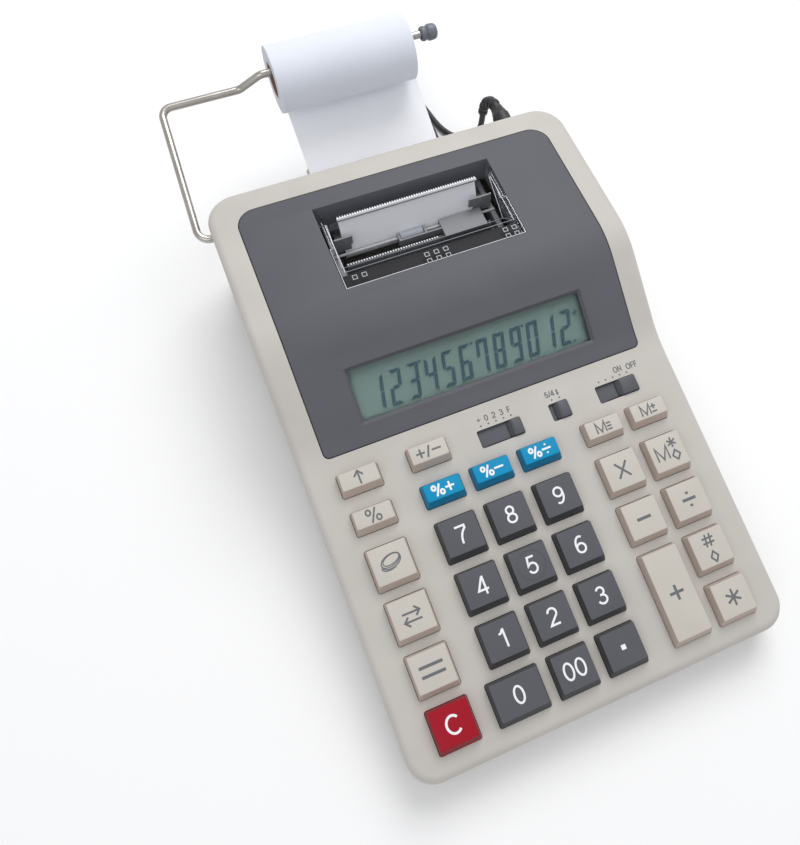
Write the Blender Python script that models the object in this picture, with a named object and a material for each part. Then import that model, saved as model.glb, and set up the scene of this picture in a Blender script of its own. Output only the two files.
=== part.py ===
"""A printing calculator: case, fascia, keys, switches, printer, paper roll on a wire arm, adapter and its lead.

Places are given from the middle of the case (X), its front wall (Y) and the table (Z). The last step sets the
origin under the middle of everything but the free lead.
"""

import math

import bmesh
import bpy
import numpy as np
from mathutils import Matrix, Vector

for old in list(bpy.data.objects):
    bpy.data.objects.remove(old, do_unlink=True)

MM = 0.001

# Gaps: between resting pieces, for cuts that run past a face, and for parts that are fused
SEAT_GAP = 0.3 * MM
OVERRUN = 6.0 * MM
FUSE = 0.5 * MM

# Facets of round pieces
SMALL_SIDES = 8
PIN_SIDES = 10
ROD_SIDES = 12
CAP_SIDES = 14
WHEEL_SIDES = 16
PLATEN_SIDES = 20

# Case outline
CASE_HALF_WIDTH = 75.0 * MM
CASE_LENGTH = 226.0 * MM
CASE_FRONT_RADIUS = 10.0 * MM
CASE_REAR_RADIUS = 12.0 * MM
CASE_BOTTOM = 2.0 * MM
CASE_WALL = 2.2 * MM
CASE_FLOOR = 2.2 * MM
CASE_EDGE_RADIUS = 3.0 * MM
CASE_BOTTOM_CHAMFER = 1.2 * MM
DECK_THICKNESS = 2.4 * MM
LEDGE_THICKNESS = 2.5 * MM
PARTING_HEIGHT = 11.0 * MM

# Runs along the top, from the rear wall: fascia margin, printer opening, crest, display slope
FASCIA_REAR_MARGIN = 10.5 * MM
LEDGE_WIDTH = 3.5 * MM
PRINTER_REAR_GAP = 4.25 * MM
PRINTER_LENGTH = 38.77 * MM
PRINTER_START = 13.06 * MM
DISPLAY_RUN = 37.48 * MM

# Side profile of the top: front edge, kink, crest and rear edge
FRONT_HEIGHT = 19.0 * MM
CREST_MARGIN = FASCIA_REAR_MARGIN + LEDGE_WIDTH + PRINTER_REAR_GAP + PRINTER_LENGTH + PRINTER_START
CREST_BACK = CASE_LENGTH - CREST_MARGIN
KINK_BACK = CREST_BACK - DISPLAY_RUN
KINK_HEIGHT = 35.65 * MM
CREST_HEIGHT = 55.58 * MM
REAR_HEIGHT = 51.42 * MM
KINK_RADIUS = 40.0 * MM
CREST_RADIUS = 30.0 * MM
ARC_STEPS = 7
CORNER_STEPS = 5
EDGE_STEPS = 3

# Keys: columns as shares of the case's half width, rows (far and near edge) as shares of the length of all rows
COLUMN_SHARES = [-0.743333, -0.388667, -0.13, 0.128667, 0.483333, 0.742]
HOLE_WIDTH_SHARE = 0.212
ZERO_EXTRA_SHARE = 0.054667
KEYPAD_LENGTH = math.hypot(KINK_BACK, KINK_HEIGHT - FRONT_HEIGHT)
FIRST_ROW_GAP = 8.8046 * MM
LAST_ROW_GAP = 7.7 * MM
ROWS_LENGTH = KEYPAD_LENGTH - FIRST_ROW_GAP - LAST_ROW_GAP
ROW_SHARES = [
    (0.0, -0.088749), (-0.141125, -0.229874), (-0.280795, -0.4355), (-0.468962, -0.623666),
    (-0.657129, -0.811833), (-0.845296, -1.0),
]
HOLE_RADIUS = 1.3 * MM
KEY_CLEARANCE = 0.35 * MM
KEY_RADIUS = 1.1 * MM
KEY_INNER_RADIUS = 0.3 * MM
KEY_HEIGHT = 4.0 * MM
KEY_SHOULDER = 0.5 * MM
KEY_EDGE = 0.35 * MM
KEY_SIDE_INSET = 0.55 * MM
KEY_REAR_INSET = 0.35 * MM
KEY_FRONT_INSET_SHARE = 0.019399
KEY_FRONT_INSET = ROWS_LENGTH * KEY_FRONT_INSET_SHARE
KEY_FLANGE = 0.75 * MM
KEY_FLANGE_THICKNESS = 1.6 * MM
KEY_WALL = 1.2 * MM
KEY_ROOF = 1.3 * MM
KEY_STEM_RADIUS = 1.8 * MM
KEY_STEM_LENGTH = 10.9 * MM
KEY_TRAVEL = 2.5 * MM
KEY_TABLE = [
    ("key_feed", 0, 0, 0, "beige_key"),
    ("key_sign", 1, 0, 0, "beige_key"),
    ("key_percent", 0, 1, 1, "beige_key"),
    ("key_tax_plus", 1, 1, 1, "blue_key"),
    ("key_tax_minus", 2, 1, 1, "blue_key"),
    ("key_rate", 3, 1, 1, "blue_key"),
    ("key_memory_equals", 4, 1, 1, "beige_key"),
    ("key_memory_plus_minus", 5, 1, 1, "beige_key"),
    ("key_currency", 0, 2, 2, "beige_key"),
    ("key_7", 1, 2, 2, "dark_key"),
    ("key_8", 2, 2, 2, "dark_key"),
    ("key_9", 3, 2, 2, "dark_key"),
    ("key_multiply", 4, 2, 2, "beige_key"),
    ("key_memory_total", 5, 2, 2, "beige_key"),
    ("key_local", 0, 3, 3, "beige_key"),
    ("key_4", 1, 3, 3, "dark_key"),
    ("key_5", 2, 3, 3, "dark_key"),
    ("key_6", 3, 3, 3, "dark_key"),
    ("key_minus", 4, 3, 3, "beige_key"),
    ("key_divide", 5, 3, 3, "beige_key"),
    ("key_equals", 0, 4, 4, "beige_key"),
    ("key_1", 1, 4, 4, "dark_key"),
    ("key_2", 2, 4, 4, "dark_key"),
    ("key_3", 3, 4, 4, "dark_key"),
    ("key_plus", 4, 4, 5, "beige_key"),
    ("key_subtotal", 5, 4, 4, "beige_key"),
    ("key_clear", 0, 5, 5, "red_key"),
    ("key_0", 1, 5, 5, "dark_key"),
    ("key_00", 2, 5, 5, "dark_key"),
    ("key_point", 3, 5, 5, "dark_key"),
    ("key_total", 5, 5, 5, "beige_key"),
]

# Slide switches: right end of each slot, its length and its knob's length, as shares of the case's half width
SWITCH_SHARES = [
    ("switch_decimals", 0.113333, 0.237333, 0.072),
    ("switch_rounding", 0.378667, 0.106667, 0.076),
    ("switch_power", 0.770667, 0.230667, 0.112),
]
SLOT_START_SHARE = 0.026188
SLOT_START = ROWS_LENGTH * SLOT_START_SHARE
SLOT_WIDTH_SHARE = 0.06741
SLOT_WIDTH = ROWS_LENGTH * SLOT_WIDTH_SHARE
SLOT_DEPTH = 1.4 * MM
SLOT_RADIUS = 0.8 * MM
KNOB_CLEARANCE = 0.3 * MM
KNOB_HEIGHT = 1.0 * MM
KNOB_SLOPE = 1.9 * MM
KNOB_INSET = 0.3 * MM
KNOB_STEM_HALF = 0.9 * MM
KNOB_STEM_HALF_DEPTH = 0.7 * MM
KNOB_STEM_LENGTH = 6.4 * MM

# Fascia, display window and display module
FASCIA_SIDE = 10.4 * MM
FASCIA_HALF_WIDTH = CASE_HALF_WIDTH - FASCIA_SIDE
FASCIA_LAP = 1.84 * MM
FASCIA_FRONT = KINK_BACK - FASCIA_LAP
FASCIA_REAR = CASE_LENGTH - FASCIA_REAR_MARGIN
FASCIA_FRONT_RADIUS = 2.0 * MM
FASCIA_REAR_RADIUS = 7.5 * MM
FASCIA_THICKNESS = 2.0 * MM
FASCIA_GAP = 0.4 * MM
WINDOW_SIDE = 17.8 * MM
WINDOW_HALF_WIDTH = FASCIA_HALF_WIDTH - WINDOW_SIDE
WINDOW_START = 6.6 * MM
WINDOW_DEPTH = 19.15 * MM
WINDOW_BEVEL = 1.2 * MM
WINDOW_RADIUS = 1.0 * MM
WINDOW_SEAT = 1.2 * MM
WINDOW_THICKNESS = 1.2 * MM
MODULE_MARGIN = 2.5 * MM
MODULE_THICKNESS = 5.5 * MM

# Paper: the roll's width sets the printer, the web and the spindle
PAPER_WIDTH = 57.0 * MM
WEB_OFFSET = 0.5 * MM
WEB_LEFT = -PAPER_WIDTH / 2 - WEB_OFFSET
WEB_RIGHT = WEB_LEFT + PAPER_WIDTH

# Printer opening: places along the printer plane from the crest, and depths below the plane
PRINTER_SIDE = 8.1 * MM
PRINTER_HALF_WIDTH = PAPER_WIDTH / 2 + PRINTER_SIDE
SKIRT_WALL = 1.5 * MM
SKIRT_DEPTH = 11.5 * MM

# Clear cover: front lip, trough, sloping window up to the tear bar, hinge at the rear
COVER_THICKNESS = 1.2 * MM
LIP_DEPTH = 7.0 * MM
TROUGH_BACK = 27.8 * MM
TROUGH_DEPTH = 8.1 * MM
WINDOW_END = 43.2 * MM
COVER_SIDE_GAP = 1.8 * MM
COVER_HALF_WIDTH = PRINTER_HALF_WIDTH - COVER_SIDE_GAP
CHEEK_THICKNESS = 1.0 * MM
FLANGE_OUTER = PRINTER_HALF_WIDTH - SEAT_GAP
NECK_GAP = 1.2 * MM
FLANGE_NECK = PRINTER_HALF_WIDTH - NECK_GAP
FLANGE_STEP = 31.9 * MM
HINGE_BACK = 46.6 * MM
HINGE_DEPTH = 1.9 * MM
HINGE_LUG_RADIUS = 1.8 * MM
LUG_INSET = 0.6 * MM
HINGE_LUG_INNER = COVER_HALF_WIDTH - LUG_INSET
HINGE_PIN_RADIUS = 1.2 * MM
HINGE_PIN_REACH = 1.1 * MM
TEAR_MARGIN = 0.4 * MM
TEAR_LEFT = WEB_LEFT - TEAR_MARGIN
TEAR_RIGHT = WEB_RIGHT + TEAR_MARGIN
TEAR_PITCH = 1.0 * MM
TEAR_BACK = 43.9 * MM
TEAR_TOOTH = 1.1 * MM
TEAR_RISE = 0.45 * MM
TEAR_SINK = 0.35 * MM

# Print mechanism: its frame's sides, paper nip, platen, shaft with its wheel and carriage, frame with its rack
FRAME_SIDE_GAP = 4.4 * MM
FRAME_INNER = PRINTER_HALF_WIDTH - FRAME_SIDE_GAP
NIP_BACK = 38.77 * MM
NIP_DEPTH = 13.23 * MM
PAPER_END_BACK = 44.48 * MM
PAPER_END_DEPTH = 0.9 * MM
PLATEN_RADIUS = 5.0 * MM
PLATEN_PAPER_GAP = 0.2 * MM
PLATEN_AXLE_RADIUS = 1.4 * MM
AXLE_CLEARANCE = 0.3 * MM
FRAME_CLEARANCE = 0.8 * MM
SHAFT_BACK = 36.5 * MM
SHAFT_DEPTH = 12.2 * MM
SHAFT_RADIUS = 0.6 * MM
WHEEL_RADIUS = 1.9 * MM
WHEEL_LENGTH = 9.4 * MM
WHEEL_CLEARANCE = 0.3 * MM
CARRIAGE_REST_GAP = 4.2 * MM
CARRIAGE_LENGTH = 18.0 * MM
CARRIAGE_RIGHT = FRAME_INNER - CARRIAGE_REST_GAP
CARRIAGE_LEFT = CARRIAGE_RIGHT - CARRIAGE_LENGTH
WHEEL_REACH = 16.7 * MM
WHEEL_LEFT = CARRIAGE_LEFT - WHEEL_REACH
CARRIAGE_START = 29.5 * MM
CARRIAGE_END = 38.0 * MM
CARRIAGE_TOP = 10.2 * MM
CARRIAGE_BOTTOM = 13.9 * MM
CARRIAGE_STEP = 33.4 * MM
CARRIAGE_SHELF = 11.6 * MM
YOKE_THICKNESS = 0.9 * MM
YOKE_DROP = 0.2 * MM
FRAME_WALL = 2.0 * MM
FRAME_START = 22.0 * MM
FRAME_END = 52.5 * MM
FRAME_TOP = 12.3 * MM
FRAME_SHOULDER = 24.0 * MM
LEG_SHOULDER = 26.0 * MM
LEG_START = 32.0 * MM
LEG_END = 50.0 * MM
LEG_DEPTH = 60.0 * MM
FRONT_BAR_DEPTH = 17.0 * MM
REAR_BAR_START = 50.3 * MM
REAR_BAR_DEPTH = 13.4 * MM
BAR_WIDTH = 2.0 * MM
REAR_BAR_HEIGHT = 4.0 * MM
RACK_START = 30.6 * MM
RACK_WIDTH = 1.8 * MM
RACK_ROOT_DEPTH = 13.0 * MM
RACK_TOOTH = 0.9 * MM
RACK_PITCH = 1.1 * MM
RACK_END_GAP = 1.4 * MM
MASK_LAP = 2.7 * MM
MASK_LEFT = WEB_LEFT + MASK_LAP
MASK_RIGHT = WEB_RIGHT - MASK_LAP
MASK_START = 38.3 * MM
MASK_WIDTH = 0.5 * MM
MASK_TOP = 7.2 * MM
MASK_BOTTOM = 12.2 * MM
MASK_PAPER_GAP = 0.8 * MM

# Battery bay and its sliding cover
BAY_HALF_WIDTH = 30.0 * MM
BAY_INSET = 1.56 * MM
BAY_START = KINK_BACK + BAY_INSET
BAY_LENGTH = 48.0 * MM
BAY_HEIGHT = 15.4 * MM
BAY_WALL = 1.5 * MM
BAY_RIM = 1.6 * MM
PAD_MARGIN = 2.0 * MM
PAD_HEIGHT = 3.6 * MM
BATTERY_COVER_THICKNESS = 1.5 * MM
BATTERY_COVER_TRAVEL = 11.0 * MM

# Feet, board posts and screw holes
FOOT_SIDE = 17.0 * MM
FOOT_HALF_LENGTH = CASE_HALF_WIDTH - FOOT_SIDE
FOOT_WIDTH = 6.0 * MM
FOOT_GROOVE = 0.9 * MM
FRONT_FOOT_BACK = 16.0 * MM
REAR_FOOT_MARGIN = 14.0 * MM
REAR_FOOT_BACK = CASE_LENGTH - REAR_FOOT_MARGIN
POST_RADIUS = 2.6 * MM
POST_MARGIN = 10.5 * MM
POST_SIDE = CASE_HALF_WIDTH - POST_MARGIN
POST_NEAR_SHARE = 0.931135
POST_NEAR = ROWS_LENGTH * POST_NEAR_SHARE
POST_FAR_SHARE = 0.116392
POST_FAR = ROWS_LENGTH * POST_FAR_SHARE
SCREW_MARGIN = 11.0 * MM
SCREW_SIDE = CASE_HALF_WIDTH - SCREW_MARGIN
SCREW_NEAR = 28.0 * MM
SCREW_REAR_MARGIN = 30.0 * MM
SCREW_FAR = CASE_LENGTH - SCREW_REAR_MARGIN
SCREW_HOLE_RADIUS = 3.2 * MM
SCREW_HOLE_DEPTH = 1.2 * MM

# Board and key mat under the keys (depths below the deck)
BOARD_SIDE = 7.0 * MM
BOARD_HALF_WIDTH = CASE_HALF_WIDTH - BOARD_SIDE
BOARD_MARGIN = 0.9 * MM
BOARD_START = ROWS_LENGTH + BOARD_MARGIN
BOARD_END = 1.5 * MM
BOARD_THICKNESS = 1.6 * MM
MAT_THICKNESS = 1.0 * MM
MAT_MARGIN = 1.5 * MM
DOME_HEIGHT = 1.2 * MM
DOME_RADIUS = 3.6 * MM
DOME_TOP_RADIUS = 2.4 * MM
DOME_SIDES = 6

# Paper roll and its core
ROLL_REACH = 40.0 * MM
ROLL_BACK = CASE_LENGTH + ROLL_REACH
ROLL_HEIGHT = 59.3 * MM
ROLL_RADIUS = 12.9 * MM
ROLL_OFFSET = 3.5 * MM
ROLL_LEFT = -PAPER_WIDTH / 2 - ROLL_OFFSET
CORE_BORE = 6.0 * MM
CORE_WALL = 0.7 * MM
ROLL_SIDES = 32

# Wire arm: pivot in the left wall, side run, crossbar, jog up, spindle; rubber end cap
ARM_RADIUS = 1.5 * MM
PIVOT_MARGIN = 12.0 * MM
PIVOT_BACK = CASE_LENGTH - PIVOT_MARGIN
PIVOT_HEIGHT = 44.0 * MM
ARM_END_INSIDE = 14.0 * MM
ARM_INNER_END = ARM_END_INSIDE - CASE_HALF_WIDTH
ARM_SIDE_REACH = 5.0 * MM
ARM_SIDE = CASE_HALF_WIDTH + ARM_SIDE_REACH
CROSSBAR_SIDE_REACH = 1.6 * MM
CROSSBAR_SIDE = CASE_HALF_WIDTH + CROSSBAR_SIDE_REACH
CROSSBAR_BEHIND = 1.0 * MM
CROSSBAR_BACK = ROLL_BACK + CROSSBAR_BEHIND
CROSSBAR_BELOW = 1.6 * MM
CROSSBAR_HEIGHT = ROLL_HEIGHT - CROSSBAR_BELOW
JOG_GAP = 4.5 * MM
JOG_END = ROLL_LEFT - JOG_GAP
JOG_LENGTH = 9.0 * MM
JOG_START = JOG_END - JOG_LENGTH
ARM_BEND = 4.2 * MM
ARM_SIDES = 10
BEND_STEPS = 4
BOSS_RADIUS = 4.0 * MM
BOSS_LENGTH = 10.5 * MM
CAP_GAP = 2.2 * MM
CAP_LEFT = ROLL_LEFT + PAPER_WIDTH + CAP_GAP
CAP_LENGTH = 10.9 * MM
CAP_BORE_LENGTH = 7.8 * MM
SPINDLE_END = CAP_LEFT + CAP_BORE_LENGTH
CAP_RADIUS = 3.65 * MM
CAP_SHAPE_SHARES = [
    (0.0, 0.8), (0.12, 0.9), (0.26, 0.9), (0.3, 0.8), (0.35, 0.8), (0.39, 0.98), (0.67, 1.0), (0.87, 0.9),
    (0.97, 0.66), (1.0, 0.33),
]

# Paper: from the roll down into the slot in the rear wall, round the platen and up to the tear bar
WEB_THICKNESS = 0.16 * MM
WEB_FALL_SHARE = 0.41
WEB_DIP_INSIDE = 14.0 * MM
WEB_DIP_BACK = CASE_LENGTH - WEB_DIP_INSIDE
WEB_DIP_RADIUS = 12.0 * MM
WEB_ARC_STEPS = 7
WALL_SLOT_BELOW = 2.3 * MM
WALL_SLOT_ABOVE = 7.0 * MM
WALL_SLOT_MARGIN = 2.0 * MM

# Adapter jack and plug
JACK_MARGIN = 14.0 * MM
JACK_X = CASE_HALF_WIDTH - JACK_MARGIN
JACK_HEIGHT = 30.0 * MM
JACK_HALF = 4.5 * MM
JACK_CORNER = 2.0 * MM
JACK_LENGTH = 12.0 * MM
JACK_BACK_WALL = 2.0 * MM
PLUG_CLEARANCE = 0.3 * MM
PLUG_NOSE_RADIUS = 2.75 * MM
PLUG_NOSE_LENGTH = 11.3 * MM
PLUG_RADIUS = 3.9 * MM
PLUG_BARREL_LENGTH = 17.0 * MM
PLUG_NECK_RADIUS = 3.2 * MM
PLUG_NECK_LENGTH = 2.0 * MM
RELIEF_POINTS = [
    (0.0, 20.0 * MM, 30.0 * MM), (-0.1 * MM, 24.0 * MM, 29.8 * MM), (-0.5 * MM, 27.4 * MM, 28.3 * MM),
    (-1.1 * MM, 29.8 * MM, 25.4 * MM), (-1.5 * MM, 30.8 * MM, 21.6 * MM), (-1.6 * MM, 31.0 * MM, 18.4 * MM),
]
RELIEF_RADIUS = 2.8 * MM
RELIEF_END_RADIUS = 2.2 * MM
RELIEF_RIBS = 6
RELIEF_GROOVE = 0.5 * MM
PLUG_SIDES = 12

# Lead, with its places from the jack: free run from the plug, piled coil, and tail to the wall adapter
CORD_RADIUS = 1.4 * MM
CORD_FLOOR = 1.5 * MM
CORD_STEP = 7.0 * MM
LEAD_POINTS = [
    (-1.6 * MM, 31.0 * MM, 18.1 * MM), (-1.6 * MM, 31.0 * MM, 13.0 * MM), (-2.3 * MM, 31.3 * MM, 7.4 * MM),
    (-5.2 * MM, 32.3 * MM, 2.8 * MM), (-9.5 * MM, 33.8 * MM, 1.5 * MM), (-14.4 * MM, 37.0 * MM, 1.5 * MM),
    (-18.0 * MM, 44.0 * MM, 1.5 * MM), (-20.1 * MM, 54.0 * MM, 1.5 * MM), (-22.3 * MM, 65.0 * MM, 1.5 * MM),
]
COIL_ASIDE = 46.7 * MM
COIL_BEHIND = 79.0 * MM
COIL_OUTER = 22.1 * MM
COIL_PITCH = 3.4 * MM
COIL_LAYER_PITCH = 3.4 * MM
COIL_LAYERS = 4
LOOPS_PER_LAYER = 3.125
POINTS_PER_LOOP = 24
CORD_JOINT = 0.3 * MM
TAIL_POINTS = [
    (-68.6 * MM, 71.5 * MM, 11.9 * MM), (-67.2 * MM, 62.0 * MM, 12.2 * MM), (-64.9 * MM, 55.0 * MM, 12.3 * MM),
    (-63.3 * MM, 50.0 * MM, 12.3 * MM), (-63.0 * MM, 47.0 * MM, 12.3 * MM), (-63.0 * MM, 44.0 * MM, 12.3 * MM),
]

# Wall adapter with two pins and a boot for the lead
ADAPTER_ASIDE = 70.0 * MM
ADAPTER_LEFT = JACK_X - ADAPTER_ASIDE
ADAPTER_LENGTH = 42.0 * MM
ADAPTER_BEHIND = 4.0 * MM
ADAPTER_START = CASE_LENGTH + ADAPTER_BEHIND
ADAPTER_WIDTH = 33.0 * MM
ADAPTER_HEIGHT = 24.0 * MM
ADAPTER_RADIUS = 3.0 * MM
ADAPTER_EDGE = 1.2 * MM
ADAPTER_STEPS = 3
PIN_RADIUS = 2.0 * MM
PIN_LENGTH = 18.0 * MM
PIN_SPACING = 19.0 * MM
PIN_HEIGHT = 12.3 * MM
BOOT_INSET = 7.0 * MM
BOOT_X = ADAPTER_LEFT + BOOT_INSET
BOOT_RADIUS = 3.0 * MM
BOOT_END_RADIUS = 2.1 * MM
BOOT_LENGTH = 6.7 * MM

# Finish of each material: colour, roughness, metallic
FINISHES = {
    "case": ((0.58, 0.55, 0.51), 0.5, 0.0),
    "fascia": ((0.13, 0.135, 0.15), 0.5, 0.0),
    "beige_key": ((0.62, 0.57, 0.51), 0.45, 0.0),
    "dark_key": ((0.12, 0.12, 0.135), 0.45, 0.0),
    "blue_key": ((0.02, 0.3, 0.58), 0.4, 0.0),
    "red_key": ((0.38, 0.015, 0.035), 0.4, 0.0),
    "clear": ((0.8, 0.82, 0.85), 0.1, 0.0),
    "display": ((0.19, 0.3, 0.26), 0.2, 0.0),
    "frame": ((0.3, 0.31, 0.33), 0.5, 0.0),
    "white_plastic": ((0.75, 0.75, 0.75), 0.4, 0.0),
    "rubber": ((0.03, 0.03, 0.032), 0.7, 0.0),
    "board": ((0.05, 0.22, 0.09), 0.5, 0.0),
    "paper": ((0.82, 0.84, 0.88), 0.8, 0.0),
    "card": ((0.42, 0.28, 0.22), 0.8, 0.0),
    "wire": ((0.6, 0.6, 0.6), 0.25, 1.0),
    "black_plastic": ((0.02, 0.02, 0.02), 0.4, 0.0),
}


def material(slot):
    found = bpy.data.materials.get(slot)
    if found:
        return found
    colour, roughness, metallic = FINISHES[slot]
    made = bpy.data.materials.new(slot)
    made.use_nodes = True
    shader = made.node_tree.nodes["Principled BSDF"]
    shader.inputs["Base Color"].default_value = (*colour, 1.0)
    shader.inputs["Roughness"].default_value = roughness
    shader.inputs["Metallic"].default_value = metallic
    return made


# Mesh helpers
def new_object(name, verts, faces):
    mesh = bpy.data.meshes.new(name)
    mesh.from_pydata([tuple(v) for v in verts], [], faces)
    work = bmesh.new()
    work.from_mesh(mesh)
    bmesh.ops.recalc_face_normals(work, faces=work.faces)
    if work.calc_volume(signed=True) < 0:
        bmesh.ops.reverse_faces(work, faces=work.faces)
    work.to_mesh(mesh)
    work.free()
    obj = bpy.data.objects.new(name, mesh)
    bpy.context.scene.collection.objects.link(obj)
    return obj


def apply_boolean(target, other, operation):
    modifier = target.modifiers.new("boolean", "BOOLEAN")
    modifier.operation = operation
    modifier.solver = "EXACT"
    modifier.object = other
    graph = bpy.context.evaluated_depsgraph_get()
    mesh = bpy.data.meshes.new_from_object(target.evaluated_get(graph))
    target.modifiers.clear()
    target.data = mesh
    bpy.data.objects.remove(other, do_unlink=True)


def cut(target, *others):
    for other in others:
        apply_boolean(target, other, "DIFFERENCE")


def join(target, *others):
    for other in others:
        apply_boolean(target, other, "UNION")


def group(pieces):
    """One mesh of several separate cutters."""
    verts, faces = [], []
    for piece in pieces:
        base = len(verts)
        verts += [v.co.copy() for v in piece.data.vertices]
        faces += [[base + i for i in p.vertices] for p in piece.data.polygons]
        bpy.data.objects.remove(piece, do_unlink=True)
    return new_object("group", verts, faces)


def moved(obj, matrix):
    obj.data.transform(matrix)
    return obj


def settled(obj, matrix, slot):
    """Gives a finished piece its own origin and axes, and its material."""
    obj.data.transform(matrix.inverted())
    obj.matrix_basis = matrix
    obj.data.materials.clear()
    obj.data.materials.append(material(slot))
    return obj


def loft(name, rings):
    """A closed body through rings of equal point count, with a cap on the first and the last."""
    count = len(rings[0])
    verts = [p for ring in rings for p in ring]
    faces = []
    for level in range(len(rings) - 1):
        a, b = level * count, (level + 1) * count
        for i in range(count):
            j = (i + 1) % count
            faces.append((a + i, a + j, b + j, b + i))
    faces.append(tuple(reversed(range(count))))
    last = (len(rings) - 1) * count
    faces.append(tuple(range(last, last + count)))
    return new_object(name, verts, faces)


def block(name, x0, x1, y0, y1, z0, z1):
    low = [(x0, y0, z0), (x1, y0, z0), (x1, y1, z0), (x0, y1, z0)]
    return loft(name, [low, [(x, y, z1) for x, y, _ in low]])


def rounded_ring(x0, x1, y0, y1, radius, z, steps=1):
    points = []
    corners = [(x1, y1, 0.0, -1, -1), (x0, y1, 90.0, 1, -1), (x0, y0, 180.0, 1, 1), (x1, y0, 270.0, -1, 1)]
    for x, y, start, sx, sy in corners:
        for k in range(steps + 1):
            angle = math.radians(start + 90.0 * k / steps)
            points.append((x + radius * (sx + math.cos(angle)), y + radius * (sy + math.sin(angle)), z))
    return points


def rounded_block(name, x0, x1, y0, y1, radius, z0, z1):
    return loft(name, [rounded_ring(x0, x1, y0, y1, radius, z) for z in (z0, z1)])


def extrude_x(name, section, x0, x1):
    """A side section of (along, up) points, drawn out along X."""
    return loft(name, [[(x, a, b) for a, b in section] for x in sorted((x0, x1))])


def rectangle(a0, a1, b0, b1):
    return [(a0, b0), (a1, b0), (a1, b1), (a0, b1)]


def sweep(name, path, radii, sides):
    """A round rod along a path. Two path points in one place make a step."""
    path = [Vector(p) for p in path]
    tangents = []
    for i, point in enumerate(path):
        before = next((point - p for p in reversed(path[:i]) if (point - p).length > 0.0), None)
        after = next((p - point for p in path[i + 1 :] if (p - point).length > 0.0), None)
        parts = [p.normalized() for p in (before, after) if p is not None]
        tangents.append(sum(parts, Vector()).normalized())
    side = tangents[0].orthogonal().normalized()
    rings = []
    for tangent, point, radius in zip(tangents, path, radii):
        side = (side - tangent * side.dot(tangent)).normalized()
        up = tangent.cross(side)
        angles = [2 * math.pi * k / sides for k in range(sides)]
        rings.append([point + (side * math.cos(a) + up * math.sin(a)) * radius for a in angles])
    return loft(name, rings)


def rod_x(name, x0, x1, along, up, radius, sides=ROD_SIDES):
    return sweep(name, [(min(x0, x1), along, up), (max(x0, x1), along, up)], [radius, radius], sides)


def rod_y(name, x, y0, y1, z, radius, sides=WHEEL_SIDES):
    return sweep(name, [(x, y0, z), (x, y1, z)], [radius, radius], sides)


def rod_z(name, x, y, z0, z1, radius, sides=PIN_SIDES):
    return sweep(name, [(x, y, z0), (x, y, z1)], [radius, radius], sides)


def tube_x(name, x0, x1, along, up, radius, bore, sides):
    angles = [2 * math.pi * k / sides for k in range(sides)]
    verts = []
    for x, r in ((x0, radius), (x1, radius), (x1, bore), (x0, bore)):
        verts += [(x, along + r * math.cos(a), up + r * math.sin(a)) for a in angles]
    faces = []
    for level in range(4):
        a, b = level * sides, (level + 1) % 4 * sides
        for i in range(sides):
            j = (i + 1) % sides
            faces.append((a + i, a + j, b + j, b + i))
    return new_object(name, verts, faces)


def arc_points(corner, before, after, radius, steps):
    """Points of the arc that rounds a corner of a path, in the plane or in space."""
    into = (corner - before).normalized()
    out = (after - corner).normalized()
    turn = into.angle(out)
    start = corner - into * radius * math.tan(turn / 2)
    inward = (out - into * out.dot(into)).normalized()
    centre = start + inward * radius
    angles = [turn * k / steps for k in range(steps + 1)]
    return [centre + (into * math.sin(a) - inward * math.cos(a)) * radius for a in angles]


def smooth_path(points, step, before=None):
    """A smooth curve through the points, sampled about every step. It can follow on from a point before it."""
    points = [np.array(p, float) for p in points]
    start = 2 * points[0] - points[1] if before is None else np.array(before, float)
    ends = [start] + points + [2 * points[-1] - points[-2]]
    path = []
    for a, b, c, d in zip(ends, ends[1:], ends[2:], ends[3:]):
        count = max(1, round(float(np.linalg.norm(c - b)) / step))
        for t in [k / count for k in range(count)]:
            line = 2 * b + (c - a) * t + (2 * a - 5 * b + 4 * c - d) * t * t
            path.append((line + (3 * b - a - 3 * c + d) * t ** 3) / 2)
    return path + [points[-1]]


# Frames on the sloping planes, and the side profile with its rounded kink and crest
PROFILE = [
    Vector((0.0, FRONT_HEIGHT)), Vector((KINK_BACK, KINK_HEIGHT)), Vector((CREST_BACK, CREST_HEIGHT)),
    Vector((CASE_LENGTH, REAR_HEIGHT)),
]


def plane_frame(start, end):
    slope = math.atan2(end.y - start.y, end.x - start.x)
    return Matrix.Translation((0.0, start.x, start.y)) @ Matrix.Rotation(slope, 4, "X")


KEYPAD = plane_frame(PROFILE[0], PROFILE[1]) @ Matrix.Translation((0.0, KEYPAD_LENGTH - FIRST_ROW_GAP, 0.0))
DISPLAY = plane_frame(PROFILE[1], PROFILE[2])
PRINTER = plane_frame(PROFILE[2], PROFILE[3])
KINK_ARC = arc_points(PROFILE[1], PROFILE[0], PROFILE[2], KINK_RADIUS, ARC_STEPS)
CREST_ARC = arc_points(PROFILE[2], PROFILE[1], PROFILE[3], CREST_RADIUS, ARC_STEPS)
TOP_LINE = [PROFILE[0]] + KINK_ARC + CREST_ARC + [PROFILE[3]]


def top_height(y):
    return float(np.interp(y, [p.x for p in TOP_LINE], [p.y for p in TOP_LINE]))


def below_top(depth):
    return lambda y: top_height(y) - depth


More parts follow.
